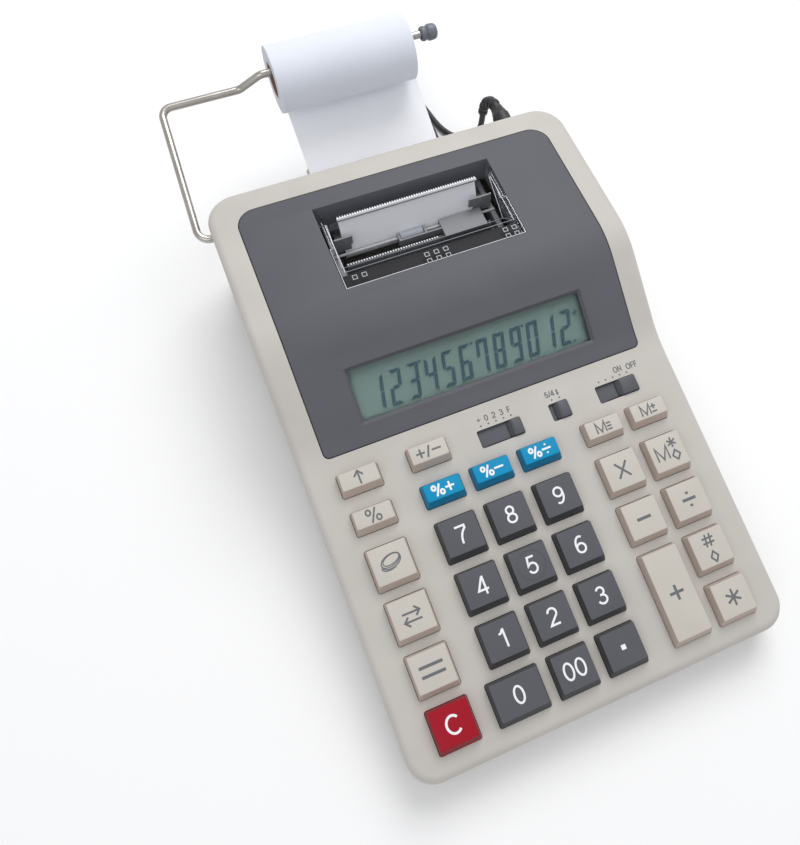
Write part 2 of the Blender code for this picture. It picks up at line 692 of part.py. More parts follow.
def deck_solid(name, half, y0, y1, front_radius, rear_radius, levels, extra=()):
    """A body with a rounded plan. Each level is (inset, height), and a height may follow the side profile."""
    low, high = y0 + front_radius, y1 - rear_radius
    inside = [p.x for p in TOP_LINE] + list(extra)
    stations = sorted([low, high] + [y for y in inside if low < y < high])
    verts = []
    for inset, height in levels:
        right = []
        for k in range(CORNER_STEPS):
            angle = math.radians(90.0 * k / CORNER_STEPS - 90.0)
            reach = front_radius - inset
            right.append((half - front_radius + reach * math.cos(angle), low + reach * math.sin(angle)))
        right += [(half - inset, y) for y in stations]
        for k in range(1, CORNER_STEPS + 1):
            angle = math.radians(90.0 * k / CORNER_STEPS)
            reach = rear_radius - inset
            right.append((half - rear_radius + reach * math.cos(angle), high + reach * math.sin(angle)))
        ring = [(x, y, height(y) if callable(height) else height) for x, y in right]
        verts += ring + [(-x, y, z) for x, y, z in reversed(ring)]
    count = len(right)
    loop = 2 * count
    faces = []
    for level in range(len(levels) - 1):
        a, b = level * loop, (level + 1) * loop
        for i in range(loop):
            j = (i + 1) % loop
            faces.append((a + i, a + j, b + j, b + i))
    for base in (0, (len(levels) - 1) * loop):
        for i in range(count - 1):
            faces.append((base + i, base + i + 1, base + loop - 2 - i, base + loop - 1 - i))
    return new_object(name, verts, faces)


def case_solid(name, levels, extra=()):
    return deck_solid(
        name, CASE_HALF_WIDTH, 0.0, CASE_LENGTH, CASE_FRONT_RADIUS, CASE_REAR_RADIUS, levels, extra
    )


def fascia_solid(name, grow, levels):
    return deck_solid(
        name, FASCIA_HALF_WIDTH + grow, FASCIA_FRONT - grow, FASCIA_REAR + grow,
        FASCIA_FRONT_RADIUS + max(grow, 0.0), FASCIA_REAR_RADIUS + grow, levels,
    )


# Case
def hole_bounds(name, column, first_row, last_row):
    x0 = CASE_HALF_WIDTH * (COLUMN_SHARES[column] - HOLE_WIDTH_SHARE / 2)
    x1 = CASE_HALF_WIDTH * (COLUMN_SHARES[column] + HOLE_WIDTH_SHARE / 2)
    if name == "key_0":
        x0 -= CASE_HALF_WIDTH * ZERO_EXTRA_SHARE
    return x0, x1, ROWS_LENGTH * ROW_SHARES[last_row][1], ROWS_LENGTH * ROW_SHARES[first_row][0]


def switch_slots():
    """Each switch's name, the ends of its slot and the length of its knob."""
    for name, *shares in SWITCH_SHARES:
        right, length, knob = [CASE_HALF_WIDTH * share for share in shares]
        yield name, right - length, right, knob


def knob_places():
    """Each knob rests at the right end of its slot: its ends and its free travel."""
    for name, left, right, knob in switch_slots():
        end = right - KNOB_CLEARANCE
        yield name, end - knob, end, right - left - knob - 2 * KNOB_CLEARANCE


def build_upper_case():
    edge = []
    for k in range(EDGE_STEPS + 1):
        angle = math.radians(90.0 * k / EDGE_STEPS)
        drop = CASE_EDGE_RADIUS * (1 - math.sin(angle))
        edge.append((CASE_EDGE_RADIUS * (1 - math.cos(angle)), below_top(drop)))
    case = case_solid("upper_case", [(0.0, PARTING_HEIGHT + SEAT_GAP)] + edge)
    ledge = FASCIA_THICKNESS + SEAT_GAP + LEDGE_THICKNESS
    step_end = FASCIA_FRONT - FASCIA_GAP - LEDGE_WIDTH
    step_start = step_end - ledge + DECK_THICKNESS

    def inner_height(y):
        share = min(max((y - step_start) / (step_end - step_start), 0.0), 1.0)
        return top_height(y) - DECK_THICKNESS - (ledge - DECK_THICKNESS) * share

    hollow_levels = [(CASE_WALL, PARTING_HEIGHT - OVERRUN), (CASE_WALL, inner_height)]
    cut(case, case_solid("hollow", hollow_levels, (step_start, step_end)))
    seat = FASCIA_THICKNESS + SEAT_GAP
    recess = fascia_solid("recess", FASCIA_GAP, [(0.0, below_top(seat)), (0.0, below_top(-OVERRUN))])
    opening = fascia_solid("opening", -LEDGE_WIDTH, [(0.0, below_top(ledge + OVERRUN)), (0.0, below_top(0.0))])
    cut(case, recess, opening)
    holes = []
    for name, column, first_row, last_row, _ in KEY_TABLE:
        bounds = hole_bounds(name, column, first_row, last_row)
        holes.append(rounded_block("hole", *bounds, HOLE_RADIUS, -OVERRUN, OVERRUN))
    far, near = -SLOT_START, -SLOT_START - SLOT_WIDTH
    for _, left, right, _ in switch_slots():
        holes.append(rounded_block("slot", left, right, near, far, SLOT_RADIUS, -SLOT_DEPTH, OVERRUN))
    cut(case, moved(group(holes), KEYPAD))
    reach = KNOB_STEM_HALF + KNOB_CLEARANCE
    depth = KNOB_STEM_HALF_DEPTH + KNOB_CLEARANCE
    middle = (far + near) / 2
    slits = []
    for _, left, right, travel in knob_places():
        stem = (left + right) / 2
        start, end = stem - travel - reach, stem + reach
        slits.append(block("slit", start, end, middle - depth, middle + depth, -OVERRUN, 0.0))
    cut(case, moved(group(slits), KEYPAD))
    slot_height = web_height(CASE_LENGTH - CASE_WALL / 2)
    wall_slot = block(
        "wall_slot", WEB_LEFT - WALL_SLOT_MARGIN, WEB_RIGHT + WALL_SLOT_MARGIN, CASE_LENGTH - OVERRUN,
        CASE_LENGTH + OVERRUN, slot_height - WALL_SLOT_BELOW, slot_height + WALL_SLOT_ABOVE,
    )
    plug_hole = rod_y(
        "plug_hole", JACK_X, CASE_LENGTH - OVERRUN, CASE_LENGTH + OVERRUN, JACK_HEIGHT,
        PLUG_NOSE_RADIUS + PLUG_CLEARANCE,
    )
    cut(case, wall_slot, plug_hole)
    boss_end = -CASE_HALF_WIDTH + CASE_WALL + BOSS_LENGTH
    join(case, rod_x("boss", -CASE_HALF_WIDTH + CASE_WALL / 2, boss_end, PIVOT_BACK, PIVOT_HEIGHT, BOSS_RADIUS))
    bore = ARM_RADIUS + SEAT_GAP
    cut(case, rod_x("bore", -CASE_HALF_WIDTH - OVERRUN, boss_end + OVERRUN, PIVOT_BACK, PIVOT_HEIGHT, bore))
    return settled(case, Matrix(), "case")


def build_lower_case():
    chamfer = CASE_BOTTOM_CHAMFER
    case = case_solid(
        "lower_case", [(chamfer, CASE_BOTTOM), (0.0, CASE_BOTTOM + chamfer), (0.0, PARTING_HEIGHT)]
    )
    floor_top = CASE_BOTTOM + CASE_FLOOR
    cut(case, case_solid("hollow", [(CASE_WALL, floor_top), (CASE_WALL, PARTING_HEIGHT + OVERRUN)]))
    bay_end = BAY_START + BAY_LENGTH
    plate_half, plate_start, plate_end = battery_plate()
    recess_end = plate_end + BATTERY_COVER_TRAVEL + SEAT_GAP
    pad_half = plate_half + PAD_MARGIN
    pad_start, pad_end = plate_start - PAD_MARGIN, recess_end + PAD_MARGIN
    pad = block("pad", -pad_half, pad_half, pad_start, pad_end, floor_top - FUSE, CASE_BOTTOM + PAD_HEIGHT)
    roof = floor_top + BAY_HEIGHT
    bay = block(
        "bay", -BAY_HALF_WIDTH - BAY_WALL, BAY_HALF_WIDTH + BAY_WALL, BAY_START - BAY_WALL, bay_end + BAY_WALL,
        floor_top - FUSE, roof + BAY_WALL,
    )
    join(case, pad, bay)
    for x in (-POST_SIDE, POST_SIDE):
        for y in (-POST_NEAR, -POST_FAR):
            top = KEYPAD @ Vector((x, y, -board_depth() - BOARD_THICKNESS - SEAT_GAP))
            drop = POST_RADIUS * (KEYPAD @ Vector((0.0, 1.0, 0.0)) - KEYPAD @ Vector()).z
            join(case, rod_z("post", x, top.y, floor_top - FUSE, top.z - drop, POST_RADIUS, SMALL_SIDES))
    cavity = block("cavity", -BAY_HALF_WIDTH, BAY_HALF_WIDTH, BAY_START, bay_end, -OVERRUN, roof)
    recess = block(
        "recess", -plate_half - SEAT_GAP, plate_half + SEAT_GAP, plate_start - SEAT_GAP, recess_end, -OVERRUN,
        CASE_BOTTOM + BATTERY_COVER_THICKNESS + SEAT_GAP,
    )
    cut(case, cavity, recess)
    cutters = []
    half_length, half_width = FOOT_HALF_LENGTH + SEAT_GAP, FOOT_WIDTH / 2 + SEAT_GAP
    for back in (FRONT_FOOT_BACK, REAR_FOOT_BACK):
        cutters.append(
            block(
                "groove", -half_length, half_length, back - half_width, back + half_width, -OVERRUN,
                CASE_BOTTOM + FOOT_GROOVE,
            )
        )
    for x in (-SCREW_SIDE, SCREW_SIDE):
        for y in (SCREW_NEAR, SCREW_FAR):
            hole_top = CASE_BOTTOM + SCREW_HOLE_DEPTH
            cutters.append(rod_z("screw_hole", x, y, -OVERRUN, hole_top, SCREW_HOLE_RADIUS))
    cut(case, group(cutters))
    return settled(case, Matrix(), "case")


def build_feet():
    feet = []
    for name, back in (("front_foot", FRONT_FOOT_BACK), ("rear_foot", REAR_FOOT_BACK)):
        top = CASE_BOTTOM + FOOT_GROOVE - SEAT_GAP
        foot = block(
            name, -FOOT_HALF_LENGTH, FOOT_HALF_LENGTH, back - FOOT_WIDTH / 2, back + FOOT_WIDTH / 2, 0.0, top
        )
        feet.append(settled(foot, Matrix.Translation((0.0, back, 0.0)), "rubber"))
    return feet


def battery_plate():
    """Half width, front and rear of the battery cover, which laps the rim of the bay."""
    return BAY_HALF_WIDTH + BAY_RIM, BAY_START - BAY_RIM, BAY_START + BAY_LENGTH + BAY_RIM


def build_battery_cover():
    half, start, end = battery_plate()
    plate = block("battery_cover", -half, half, start, end, CASE_BOTTOM, CASE_BOTTOM + BATTERY_COVER_THICKNESS)
    return settled(plate, Matrix.Translation((0.0, (start + end) / 2, CASE_BOTTOM)), "case")


# Keys, switches, board and key mat
def key_flange_top():
    return -DECK_THICKNESS - SEAT_GAP


def dome_depth():
    """Depth of the dome tops below the deck, where a pressed key's stem reaches them."""
    return KEY_STEM_LENGTH - KEY_HEIGHT + KEY_TRAVEL + SEAT_GAP


def board_depth():
    return dome_depth() + DOME_HEIGHT + MAT_THICKNESS + SEAT_GAP


def build_key(name, bounds, slot):
    """A hollow key in its hole: roof, sloped front, skirt with a flange under the deck, and a stem."""
    x0, x1, y0, y1 = bounds
    a0, a1 = x0 + KEY_CLEARANCE, x1 - KEY_CLEARANCE
    b0, b1 = y0 + KEY_CLEARANCE, y1 - KEY_CLEARANCE

    def ring(side, near, far, radius, z):
        return rounded_ring(a0 + side, a1 - side, b0 + near, b1 - far, radius, z)

    wall, side, near, far, edge = KEY_WALL, KEY_SIDE_INSET, KEY_FRONT_INSET, KEY_REAR_INSET, KEY_EDGE
    flange = -KEY_FLANGE
    bottom = key_flange_top() - KEY_FLANGE_THICKNESS
    key = loft(
        name,
        [
            ring(side + wall, near + wall, far + wall, KEY_INNER_RADIUS, KEY_HEIGHT - KEY_ROOF),
            ring(wall, wall, wall, KEY_INNER_RADIUS, KEY_SHOULDER),
            ring(wall, wall, wall, KEY_INNER_RADIUS, bottom),
            ring(flange, flange, flange, KEY_RADIUS, bottom),
            ring(flange, flange, flange, KEY_RADIUS, key_flange_top()),
            ring(0.0, 0.0, 0.0, KEY_RADIUS, key_flange_top()),
            ring(0.0, 0.0, 0.0, KEY_RADIUS, KEY_SHOULDER),
            ring(side, near, far, KEY_RADIUS, KEY_HEIGHT - edge),
            ring(side + edge, near + edge, far + edge, KEY_RADIUS, KEY_HEIGHT),
        ],
    )
    x, y = (x0 + x1) / 2, (y0 + y1) / 2
    low, high = KEY_HEIGHT - KEY_STEM_LENGTH, KEY_HEIGHT - KEY_ROOF / 2
    join(key, rod_z("stem", x, y, low, high, KEY_STEM_RADIUS, SMALL_SIDES))
    key.data.transform(KEYPAD)
    return settled(key, KEYPAD @ Matrix.Translation((x, y, 0.0)), slot)


def build_keys():
    return [build_key(name, hole_bounds(name, column, a, b), slot) for name, column, a, b, slot in KEY_TABLE]


def build_switches():
    knobs = []
    far = -SLOT_START - KNOB_CLEARANCE
    near = -SLOT_START - SLOT_WIDTH + KNOB_CLEARANCE
    floor = -SLOT_DEPTH + SEAT_GAP
    middle = (far + near) / 2
    inset = KNOB_INSET
    for name, left, right, _ in knob_places():
        knob = loft(
            name,
            [
                rounded_ring(left, right, near, far, inset, floor),
                rounded_ring(left, right, near, far, inset, floor + inset),
                rounded_ring(left + KNOB_SLOPE, right - inset, near + inset, far - inset, inset, KNOB_HEIGHT),
            ],
        )
        x = (left + right) / 2
        half, half_depth = KNOB_STEM_HALF, KNOB_STEM_HALF_DEPTH
        bottom = floor - KNOB_STEM_LENGTH
        near_side, far_side = middle - half_depth, middle + half_depth
        join(knob, block("stem", x - half, x + half, near_side, far_side, bottom, floor + inset))
        knob.data.transform(KEYPAD)
        knobs.append(settled(knob, KEYPAD @ Matrix.Translation((x, middle, 0.0)), "fascia"))
    return knobs


def build_board():
    top = -board_depth()
    board = block(
        "main_board", -BOARD_HALF_WIDTH, BOARD_HALF_WIDTH, -BOARD_START, BOARD_END, top - BOARD_THICKNESS, top
    )
    return settled(moved(board, KEYPAD), KEYPAD, "board")


def build_key_mat():
    dome_top = -dome_depth()
    top = dome_top - DOME_HEIGHT
    half = BOARD_HALF_WIDTH - MAT_MARGIN
    near, far = -BOARD_START + MAT_MARGIN, BOARD_END - MAT_MARGIN
    mat = block("key_mat", -half, half, near, far, top - MAT_THICKNESS, top)
    domes = []
    for name, column, first_row, last_row, _ in KEY_TABLE:
        x0, x1, y0, y1 = hole_bounds(name, column, first_row, last_row)
        x, y = (x0 + x1) / 2, (y0 + y1) / 2
        ends = [(x, y, top - MAT_THICKNESS / 2), (x, y, dome_top)]
        domes.append(sweep("dome", ends, [DOME_RADIUS, DOME_TOP_RADIUS], DOME_SIDES))
    join(mat, group(domes))
    return settled(moved(mat, KEYPAD), KEYPAD, "rubber")


# Fascia, display window and display module
def build_fascia():
    fascia = fascia_solid("fascia", 0.0, [(0.0, below_top(FASCIA_THICKNESS)), (0.0, below_top(0.0))])
    outer = PRINTER_HALF_WIDTH + SKIRT_WALL
    end = PRINTER_START + PRINTER_LENGTH
    skirt = block(
        "skirt", -outer, outer, PRINTER_START + SKIRT_WALL, end + SKIRT_WALL, -SKIRT_DEPTH,
        -FASCIA_THICKNESS / 2,
    )
    join(fascia, moved(skirt, PRINTER))
    opening = block(
        "opening", -PRINTER_HALF_WIDTH, PRINTER_HALF_WIDTH, PRINTER_START, end, -SKIRT_DEPTH - OVERRUN, OVERRUN
    )
    pin_hole = HINGE_PIN_RADIUS + AXLE_CLEARANCE
    pins = rod_x("pins", -outer - OVERRUN, outer + OVERRUN, HINGE_BACK, -HINGE_DEPTH, pin_hole)
    cut(fascia, moved(opening, PRINTER), moved(pins, PRINTER))

    def ring(inset, radius, z):
        half = WINDOW_HALF_WIDTH - inset
        return rounded_ring(-half, half, WINDOW_START + inset, WINDOW_START + WINDOW_DEPTH - inset, radius, z)

    window = loft(
        "window",
        [
            ring(WINDOW_BEVEL, WINDOW_RADIUS / 2, -OVERRUN),
            ring(WINDOW_BEVEL, WINDOW_RADIUS / 2, -WINDOW_BEVEL),
            ring(0.0, WINDOW_RADIUS, 0.0),
            ring(-OVERRUN, WINDOW_RADIUS + OVERRUN, OVERRUN),
        ],
    )
    cut(fascia, moved(window, DISPLAY))
    return settled(fascia, Matrix(), "fascia")


def build_display():
    pieces = []
    top = -FASCIA_THICKNESS - SEAT_GAP
    table = (
        ("lcd_window", WINDOW_SEAT, WINDOW_THICKNESS, "clear"),
        ("lcd_module", MODULE_MARGIN, MODULE_THICKNESS, "display"),
    )
    for name, margin, thickness, slot in table:
        half = WINDOW_HALF_WIDTH + margin
        start, end = WINDOW_START - margin, WINDOW_START + WINDOW_DEPTH + margin
        pieces.append(block(name, -half, half, start, end, top - thickness, top))
        pieces[-1] = settled(moved(pieces[-1], DISPLAY), DISPLAY, slot)
        top -= thickness + SEAT_GAP
    return pieces


# Printer
def comb(left, right, pitch, base, valley, tip):
    """A toothed outline as (across, up) points."""
    count = int((right - left) / pitch)
    step = (right - left) / count
    outline = [(left, base), (right, base), (right, valley)]
    for k in reversed(range(count)):
        outline += [(left + step * k + step / 2, tip), (left + step * k, valley)]
    return outline


def band(line, thickness):
    """The side section of a sheet: an open line and its lower parallel."""
    line = [Vector(p) for p in line]
    normals = []
    for a, b in zip(line, line[1:]):
        along = (b - a).normalized()
        normals.append(Vector((along.y, -along.x)))
    lower = [line[0] + normals[0] * thickness]
    for point, a, b in zip(line[1:], normals, normals[1:]):
        middle = (a + b).normalized()
        lower.append(point + middle * thickness / middle.dot(a))
    lower.append(line[-1] + normals[-1] * thickness)
    return line + list(reversed(lower))


def build_cover():
    start = PRINTER_START + SEAT_GAP
    lip_end = start + LIP_DEPTH
    trough = (TROUGH_BACK, -TROUGH_DEPTH)
    section = band([(start, 0.0), (lip_end, 0.0), trough, (WINDOW_END, 0.0)], COVER_THICKNESS)
    cover = extrude_x("printer_cover", section, -COVER_HALF_WIDTH, COVER_HALF_WIDTH)
    thick, fuse = COVER_THICKNESS, FUSE / 2
    cheek = [
        (lip_end - fuse, -fuse), (WINDOW_END, -fuse), (WINDOW_END - fuse, -thick),
        (TROUGH_BACK, -TROUGH_DEPTH - fuse),
    ]
    parts = []
    for side in (-1, 1):
        rim = side * (COVER_HALF_WIDTH - CHEEK_THICKNESS)
        parts.append(extrude_x("cheek", cheek, rim, side * (COVER_HALF_WIDTH - fuse)))
        edge = side * (COVER_HALF_WIDTH - FUSE)
        parts.append(extrude_x("flange", rectangle(start, FLANGE_STEP, -thick, 0.0), edge, side * FLANGE_OUTER))
        neck = rectangle(FLANGE_STEP - FUSE, HINGE_BACK, -thick, 0.0)
        parts.append(extrude_x("neck", neck, edge, side * FLANGE_NECK))
        inner, outer = side * HINGE_LUG_INNER, side * (FLANGE_NECK + FUSE)
        parts.append(rod_x("lug", inner, outer, HINGE_BACK, -HINGE_DEPTH, HINGE_LUG_RADIUS))
        pin_end = side * (PRINTER_HALF_WIDTH + HINGE_PIN_REACH)
        parts.append(
            rod_x("pin", side * FLANGE_NECK, pin_end, HINGE_BACK, -HINGE_DEPTH, HINGE_PIN_RADIUS, SMALL_SIDES)
        )
    join(cover, *parts)
    base = WINDOW_END - TEAR_TOOTH
    outline = comb(TEAR_LEFT, TEAR_RIGHT, TEAR_PITCH, base, TEAR_BACK, TEAR_BACK + TEAR_TOOTH)
    join(cover, loft("teeth", [[(x, s, z) for x, s in outline] for z in (-TEAR_SINK, TEAR_RISE)]))
    hinge = PRINTER @ Matrix.Translation((0.0, HINGE_BACK, -HINGE_DEPTH))
    return settled(moved(cover, PRINTER), hinge, "clear")


def paper_normal():
    """Unit vectors along the paper from the nip to the tear bar, and across it towards the platen."""
    along = Vector((PAPER_END_BACK - NIP_BACK, NIP_DEPTH - PAPER_END_DEPTH)).normalized()
    return along, Vector((along.y, -along.x))


def platen_axis():
    _, across = paper_normal()
    centre = Vector((NIP_BACK, -NIP_DEPTH)) + across * (PLATEN_RADIUS + PLATEN_PAPER_GAP)
    return centre.x, centre.y


def build_printer_frame():
    side = [
        (FRAME_START, -FRAME_TOP), (FRAME_END, -FRAME_TOP), (FRAME_END, -FRAME_SHOULDER), (LEG_END, -LEG_DEPTH),
        (LEG_START, -LEG_DEPTH), (LEG_START, -LEG_SHOULDER), (FRAME_START, -FRAME_SHOULDER),
    ]
    outer = FRAME_INNER + FRAME_WALL
    frame = extrude_x("printer_frame", side, -outer, -FRAME_INNER)
    reach = FRAME_INNER + FRAME_WALL / 2
    bar_top, bar_bottom = -FRONT_BAR_DEPTH, -FRONT_BAR_DEPTH - BAR_WIDTH
    front = rectangle(FRAME_START + FUSE, RACK_START + RACK_WIDTH, bar_bottom, bar_top)
    rear = rectangle(
        REAR_BAR_START, REAR_BAR_START + BAR_WIDTH - FUSE / 2, -REAR_BAR_DEPTH - REAR_BAR_HEIGHT,
        -REAR_BAR_DEPTH,
    )
    join(frame, extrude_x("front_bar", front, -reach, reach), extrude_x("rear_bar", rear, -reach, reach))
    join(frame, extrude_x("other_side", side, FRAME_INNER, outer))
    half = FRAME_INNER - RACK_END_GAP
    root = -RACK_ROOT_DEPTH
    outline = comb(-half, half, RACK_PITCH, -FRONT_BAR_DEPTH - FUSE, root, root + RACK_TOOTH)
    rack_ends = (RACK_START, RACK_START + RACK_WIDTH - FUSE / 2)
    join(frame, loft("rack", [[(x, s, z) for x, z in outline] for s in rack_ends]))
    left_edge = WEB_LEFT - MASK_PAPER_GAP
    right_edge = WEB_RIGHT + MASK_PAPER_GAP
    for inner, edge, end in ((MASK_LEFT, left_edge, -reach), (MASK_RIGHT, right_edge, reach)):
        tab = [
            (end, -MASK_TOP), (inner, -MASK_TOP), (inner, -MASK_BOTTOM), (edge, -MASK_BOTTOM),
            (edge, -FRAME_TOP - FUSE), (end, -FRAME_TOP - FUSE),
        ]
        places = (MASK_START, MASK_START + MASK_WIDTH)
        join(frame, loft("mask", [[(x, s, z) for x, z in tab] for s in places]))
    far = outer + OVERRUN
    axle = rod_x("axle_hole", -far, far, *platen_axis(), PLATEN_AXLE_RADIUS + AXLE_CLEARANCE)
    shaft = rod_x("shaft_hole", -far, far, SHAFT_BACK, -SHAFT_DEPTH, SHAFT_RADIUS + AXLE_CLEARANCE, SMALL_SIDES)
    cut(frame, axle, shaft)
    frame.data.transform(PRINTER)
    foot = CASE_BOTTOM + CASE_FLOOR + SEAT_GAP
    cut(frame, block("trim", -far, far, 0.0, CASE_LENGTH, foot - LEG_DEPTH, foot))
    return settled(frame, PRINTER, "frame")


def build_print_parts():
    platen_place = platen_axis()
    half = FRAME_INNER - FRAME_CLEARANCE
    axle_half = FRAME_INNER + FRAME_WALL
    path = [(x, *platen_place) for x in (-axle_half, -half, -half, half, half, axle_half)]
    thin, thick = PLATEN_AXLE_RADIUS, PLATEN_RADIUS
    platen = sweep("platen_roller", path, [thin, thin, thick, thick, thin, thin], PLATEN_SIDES)
    shaft_place = (SHAFT_BACK, -SHAFT_DEPTH)
    shaft = rod_x("guide_shaft", -axle_half, axle_half, *shaft_place, SHAFT_RADIUS, SMALL_SIDES)
    section = [
        (CARRIAGE_START, -CARRIAGE_TOP), (CARRIAGE_END, -CARRIAGE_TOP), (CARRIAGE_END, -CARRIAGE_BOTTOM),
        (CARRIAGE_STEP, -CARRIAGE_BOTTOM), (CARRIAGE_STEP, -CARRIAGE_SHELF), (CARRIAGE_START, -CARRIAGE_SHELF),
    ]
    carriage = extrude_x("print_carriage", section, CARRIAGE_LEFT, CARRIAGE_RIGHT)
    top = -CARRIAGE_TOP - YOKE_DROP
    near = CARRIAGE_STEP + YOKE_DROP
    yoke = rectangle(near, CARRIAGE_END - YOKE_DROP, -CARRIAGE_BOTTOM + YOKE_DROP, top)
    bridge = rectangle(near, SHAFT_BACK - WHEEL_RADIUS - WHEEL_CLEARANCE, -CARRIAGE_BOTTOM + YOKE_DROP, top)
    wheel_right = WHEEL_LEFT + WHEEL_LENGTH
    yoke_left = WHEEL_LEFT - WHEEL_CLEARANCE - YOKE_THICKNESS
    yoke_right = wheel_right + WHEEL_CLEARANCE
    join(
        carriage,
        extrude_x("bridge", bridge, yoke_left, CARRIAGE_LEFT + FUSE),
        extrude_x("left_yoke", yoke, yoke_left, yoke_left + YOKE_THICKNESS),
        extrude_x("right_yoke", yoke, yoke_right, yoke_right + YOKE_THICKNESS),
    )
    bore = SHAFT_RADIUS + AXLE_CLEARANCE
    cut(carriage, rod_x("bore", yoke_left - OVERRUN, CARRIAGE_RIGHT + OVERRUN, *shaft_place, bore, SMALL_SIDES))
    wheel = tube_x("print_wheel", WHEEL_LEFT, wheel_right, *shaft_place, WHEEL_RADIUS, bore, WHEEL_SIDES)
    on_shaft = PRINTER @ Matrix.Translation((0.0, *shaft_place))
    on_platen = PRINTER @ Matrix.Translation((0.0, *platen_place))
    return [
        settled(moved(platen, PRINTER), on_platen, "rubber"),
        settled(moved(shaft, PRINTER), on_shaft, "wire"),
        settled(moved(carriage, PRINTER), on_shaft, "frame"),
        settled(moved(wheel, PRINTER), on_shaft, "white_plastic"),
    ]


# Paper roll, arm and the web of paper
def build_roll():
    core_radius = CORE_BORE + CORE_WALL
    centre = (ROLL_BACK, ROLL_HEIGHT)
    right = ROLL_LEFT + PAPER_WIDTH
    frame = Matrix.Translation((0.0, *centre))
    bore = core_radius + SEAT_GAP
    roll = tube_x("paper_roll", ROLL_LEFT, right, *centre, ROLL_RADIUS, bore, ROLL_SIDES)
    core = tube_x("roll_core", ROLL_LEFT, right, *centre, core_radius, CORE_BORE, ROLL_SIDES)
    return [settled(roll, frame, "paper"), settled(core, frame, "card")]


def build_arm():
    spindle = ROLL_HEIGHT + CORE_BORE - SEAT_GAP - ARM_RADIUS
    points = [
        (ARM_INNER_END, PIVOT_BACK, PIVOT_HEIGHT), (-ARM_SIDE, PIVOT_BACK, PIVOT_HEIGHT),
        (-CROSSBAR_SIDE, CROSSBAR_BACK, CROSSBAR_HEIGHT), (JOG_START, CROSSBAR_BACK, CROSSBAR_HEIGHT),
        (JOG_END, ROLL_BACK, spindle), (SPINDLE_END, ROLL_BACK, spindle),
    ]
    points = [Vector(p) for p in points]
    path = [points[0]]
    for before, corner, after in zip(points, points[1:], points[2:]):
        path += arc_points(corner, before, after, ARM_BEND, BEND_STEPS)
    path.append(points[-1])
    arm = sweep("roll_arm", path, [ARM_RADIUS] * len(path), ARM_SIDES)
    cap_path = [(CAP_LEFT + CAP_LENGTH * a, ROLL_BACK, spindle) for a, _ in CAP_SHAPE_SHARES]
    cap = sweep("arm_end_cap", cap_path, [CAP_RADIUS * r for _, r in CAP_SHAPE_SHARES], CAP_SIDES)
    bore = ARM_RADIUS + SEAT_GAP
    cut(cap, rod_x("bore", CAP_LEFT - OVERRUN, SPINDLE_END + SEAT_GAP, ROLL_BACK, spindle, bore, PIN_SIDES))
    pivot = Matrix.Translation((0.0, PIVOT_BACK, PIVOT_HEIGHT))
    return [settled(arm, pivot, "wire"), settled(cap, pivot, "rubber")]


def web_touch():
    """Where the straight run of paper touches the underside of the roll, a seat gap off it."""
    angle = math.atan(WEB_FALL_SHARE)
    reach = ROLL_RADIUS + SEAT_GAP + WEB_THICKNESS / 2
    return Vector((ROLL_BACK + reach * math.sin(angle), ROLL_HEIGHT - reach * math.cos(angle)))


def web_height(back):
    touch = web_touch()
    return touch.y - (touch.x - back) * WEB_FALL_SHARE


def paper_line():
    """The middle line of the paper as (Y, Z) points, from the roll to the tear bar."""
    def on_plane(back, up):
        spot = PRINTER @ Vector((0.0, back, up))
        return Vector((spot.y, spot.z))

    centre = on_plane(*platen_axis())
    nip = on_plane(NIP_BACK, -NIP_DEPTH)
    end = on_plane(PAPER_END_BACK, -PAPER_END_DEPTH)
    radius = PLATEN_RADIUS + PLATEN_PAPER_GAP
    dip = Vector((WEB_DIP_BACK, web_height(WEB_DIP_BACK)))
    to_centre = centre - dip
    length = math.sqrt(to_centre.length ** 2 - radius ** 2)
    angle = math.atan2(to_centre.y, to_centre.x) + math.asin(radius / to_centre.length)
    touch = dip + Vector((math.cos(angle), math.sin(angle))) * length
    start = web_touch()
    points = [start] + arc_points(dip, start, touch, WEB_DIP_RADIUS, WEB_ARC_STEPS)
    first = math.atan2(touch.y - centre.y, touch.x - centre.x) % (2 * math.pi)
    last = math.atan2(nip.y - centre.y, nip.x - centre.x) % (2 * math.pi)
    for k in range(WEB_ARC_STEPS + 1):
        a = first + (last - first) * k / WEB_ARC_STEPS
        points.append(centre + Vector((math.cos(a), math.sin(a))) * radius)
    return points + [end]


def build_web():
    line = paper_line()
    left, right = WEB_LEFT, WEB_RIGHT
    rings = []
    for i, point in enumerate(line):
        along = (line[min(i + 1, len(line) - 1)] - line[max(i - 1, 0)]).normalized()
        across = Vector((-along.y, along.x)) * WEB_THICKNESS / 2
        a, b = point + across, point - across
        rings.append([(x, p.x, p.y) for x, p in ((left, a), (right, a), (right, b), (left, b))])
    return settled(loft("paper_web", rings), Matrix(), "paper")


# Jack, plug, lead and wall adapter
def from_jack(points):
    """Places given from the jack and the rear wall, with their heights above the table."""
    return [(JACK_X + x, CASE_LENGTH + y, z) for x, y, z in points]


def build_jack():
    face = CASE_LENGTH - CASE_WALL - SEAT_GAP
    low, high = JACK_HEIGHT - JACK_HALF, JACK_HEIGHT + JACK_HALF
    left, right = JACK_X - JACK_HALF, JACK_X + JACK_HALF
    jack = rounded_block("dc_jack", left, right, face - JACK_LENGTH, face, JACK_CORNER, low, high)
    bore_end = face - JACK_LENGTH + JACK_BACK_WALL
    bore = PLUG_NOSE_RADIUS + PLUG_CLEARANCE
    cut(jack, rod_y("bore", JACK_X, bore_end, face + OVERRUN, JACK_HEIGHT, bore, ROD_SIDES))
    return settled(jack, Matrix.Translation((JACK_X, face, JACK_HEIGHT)), "black_plastic")


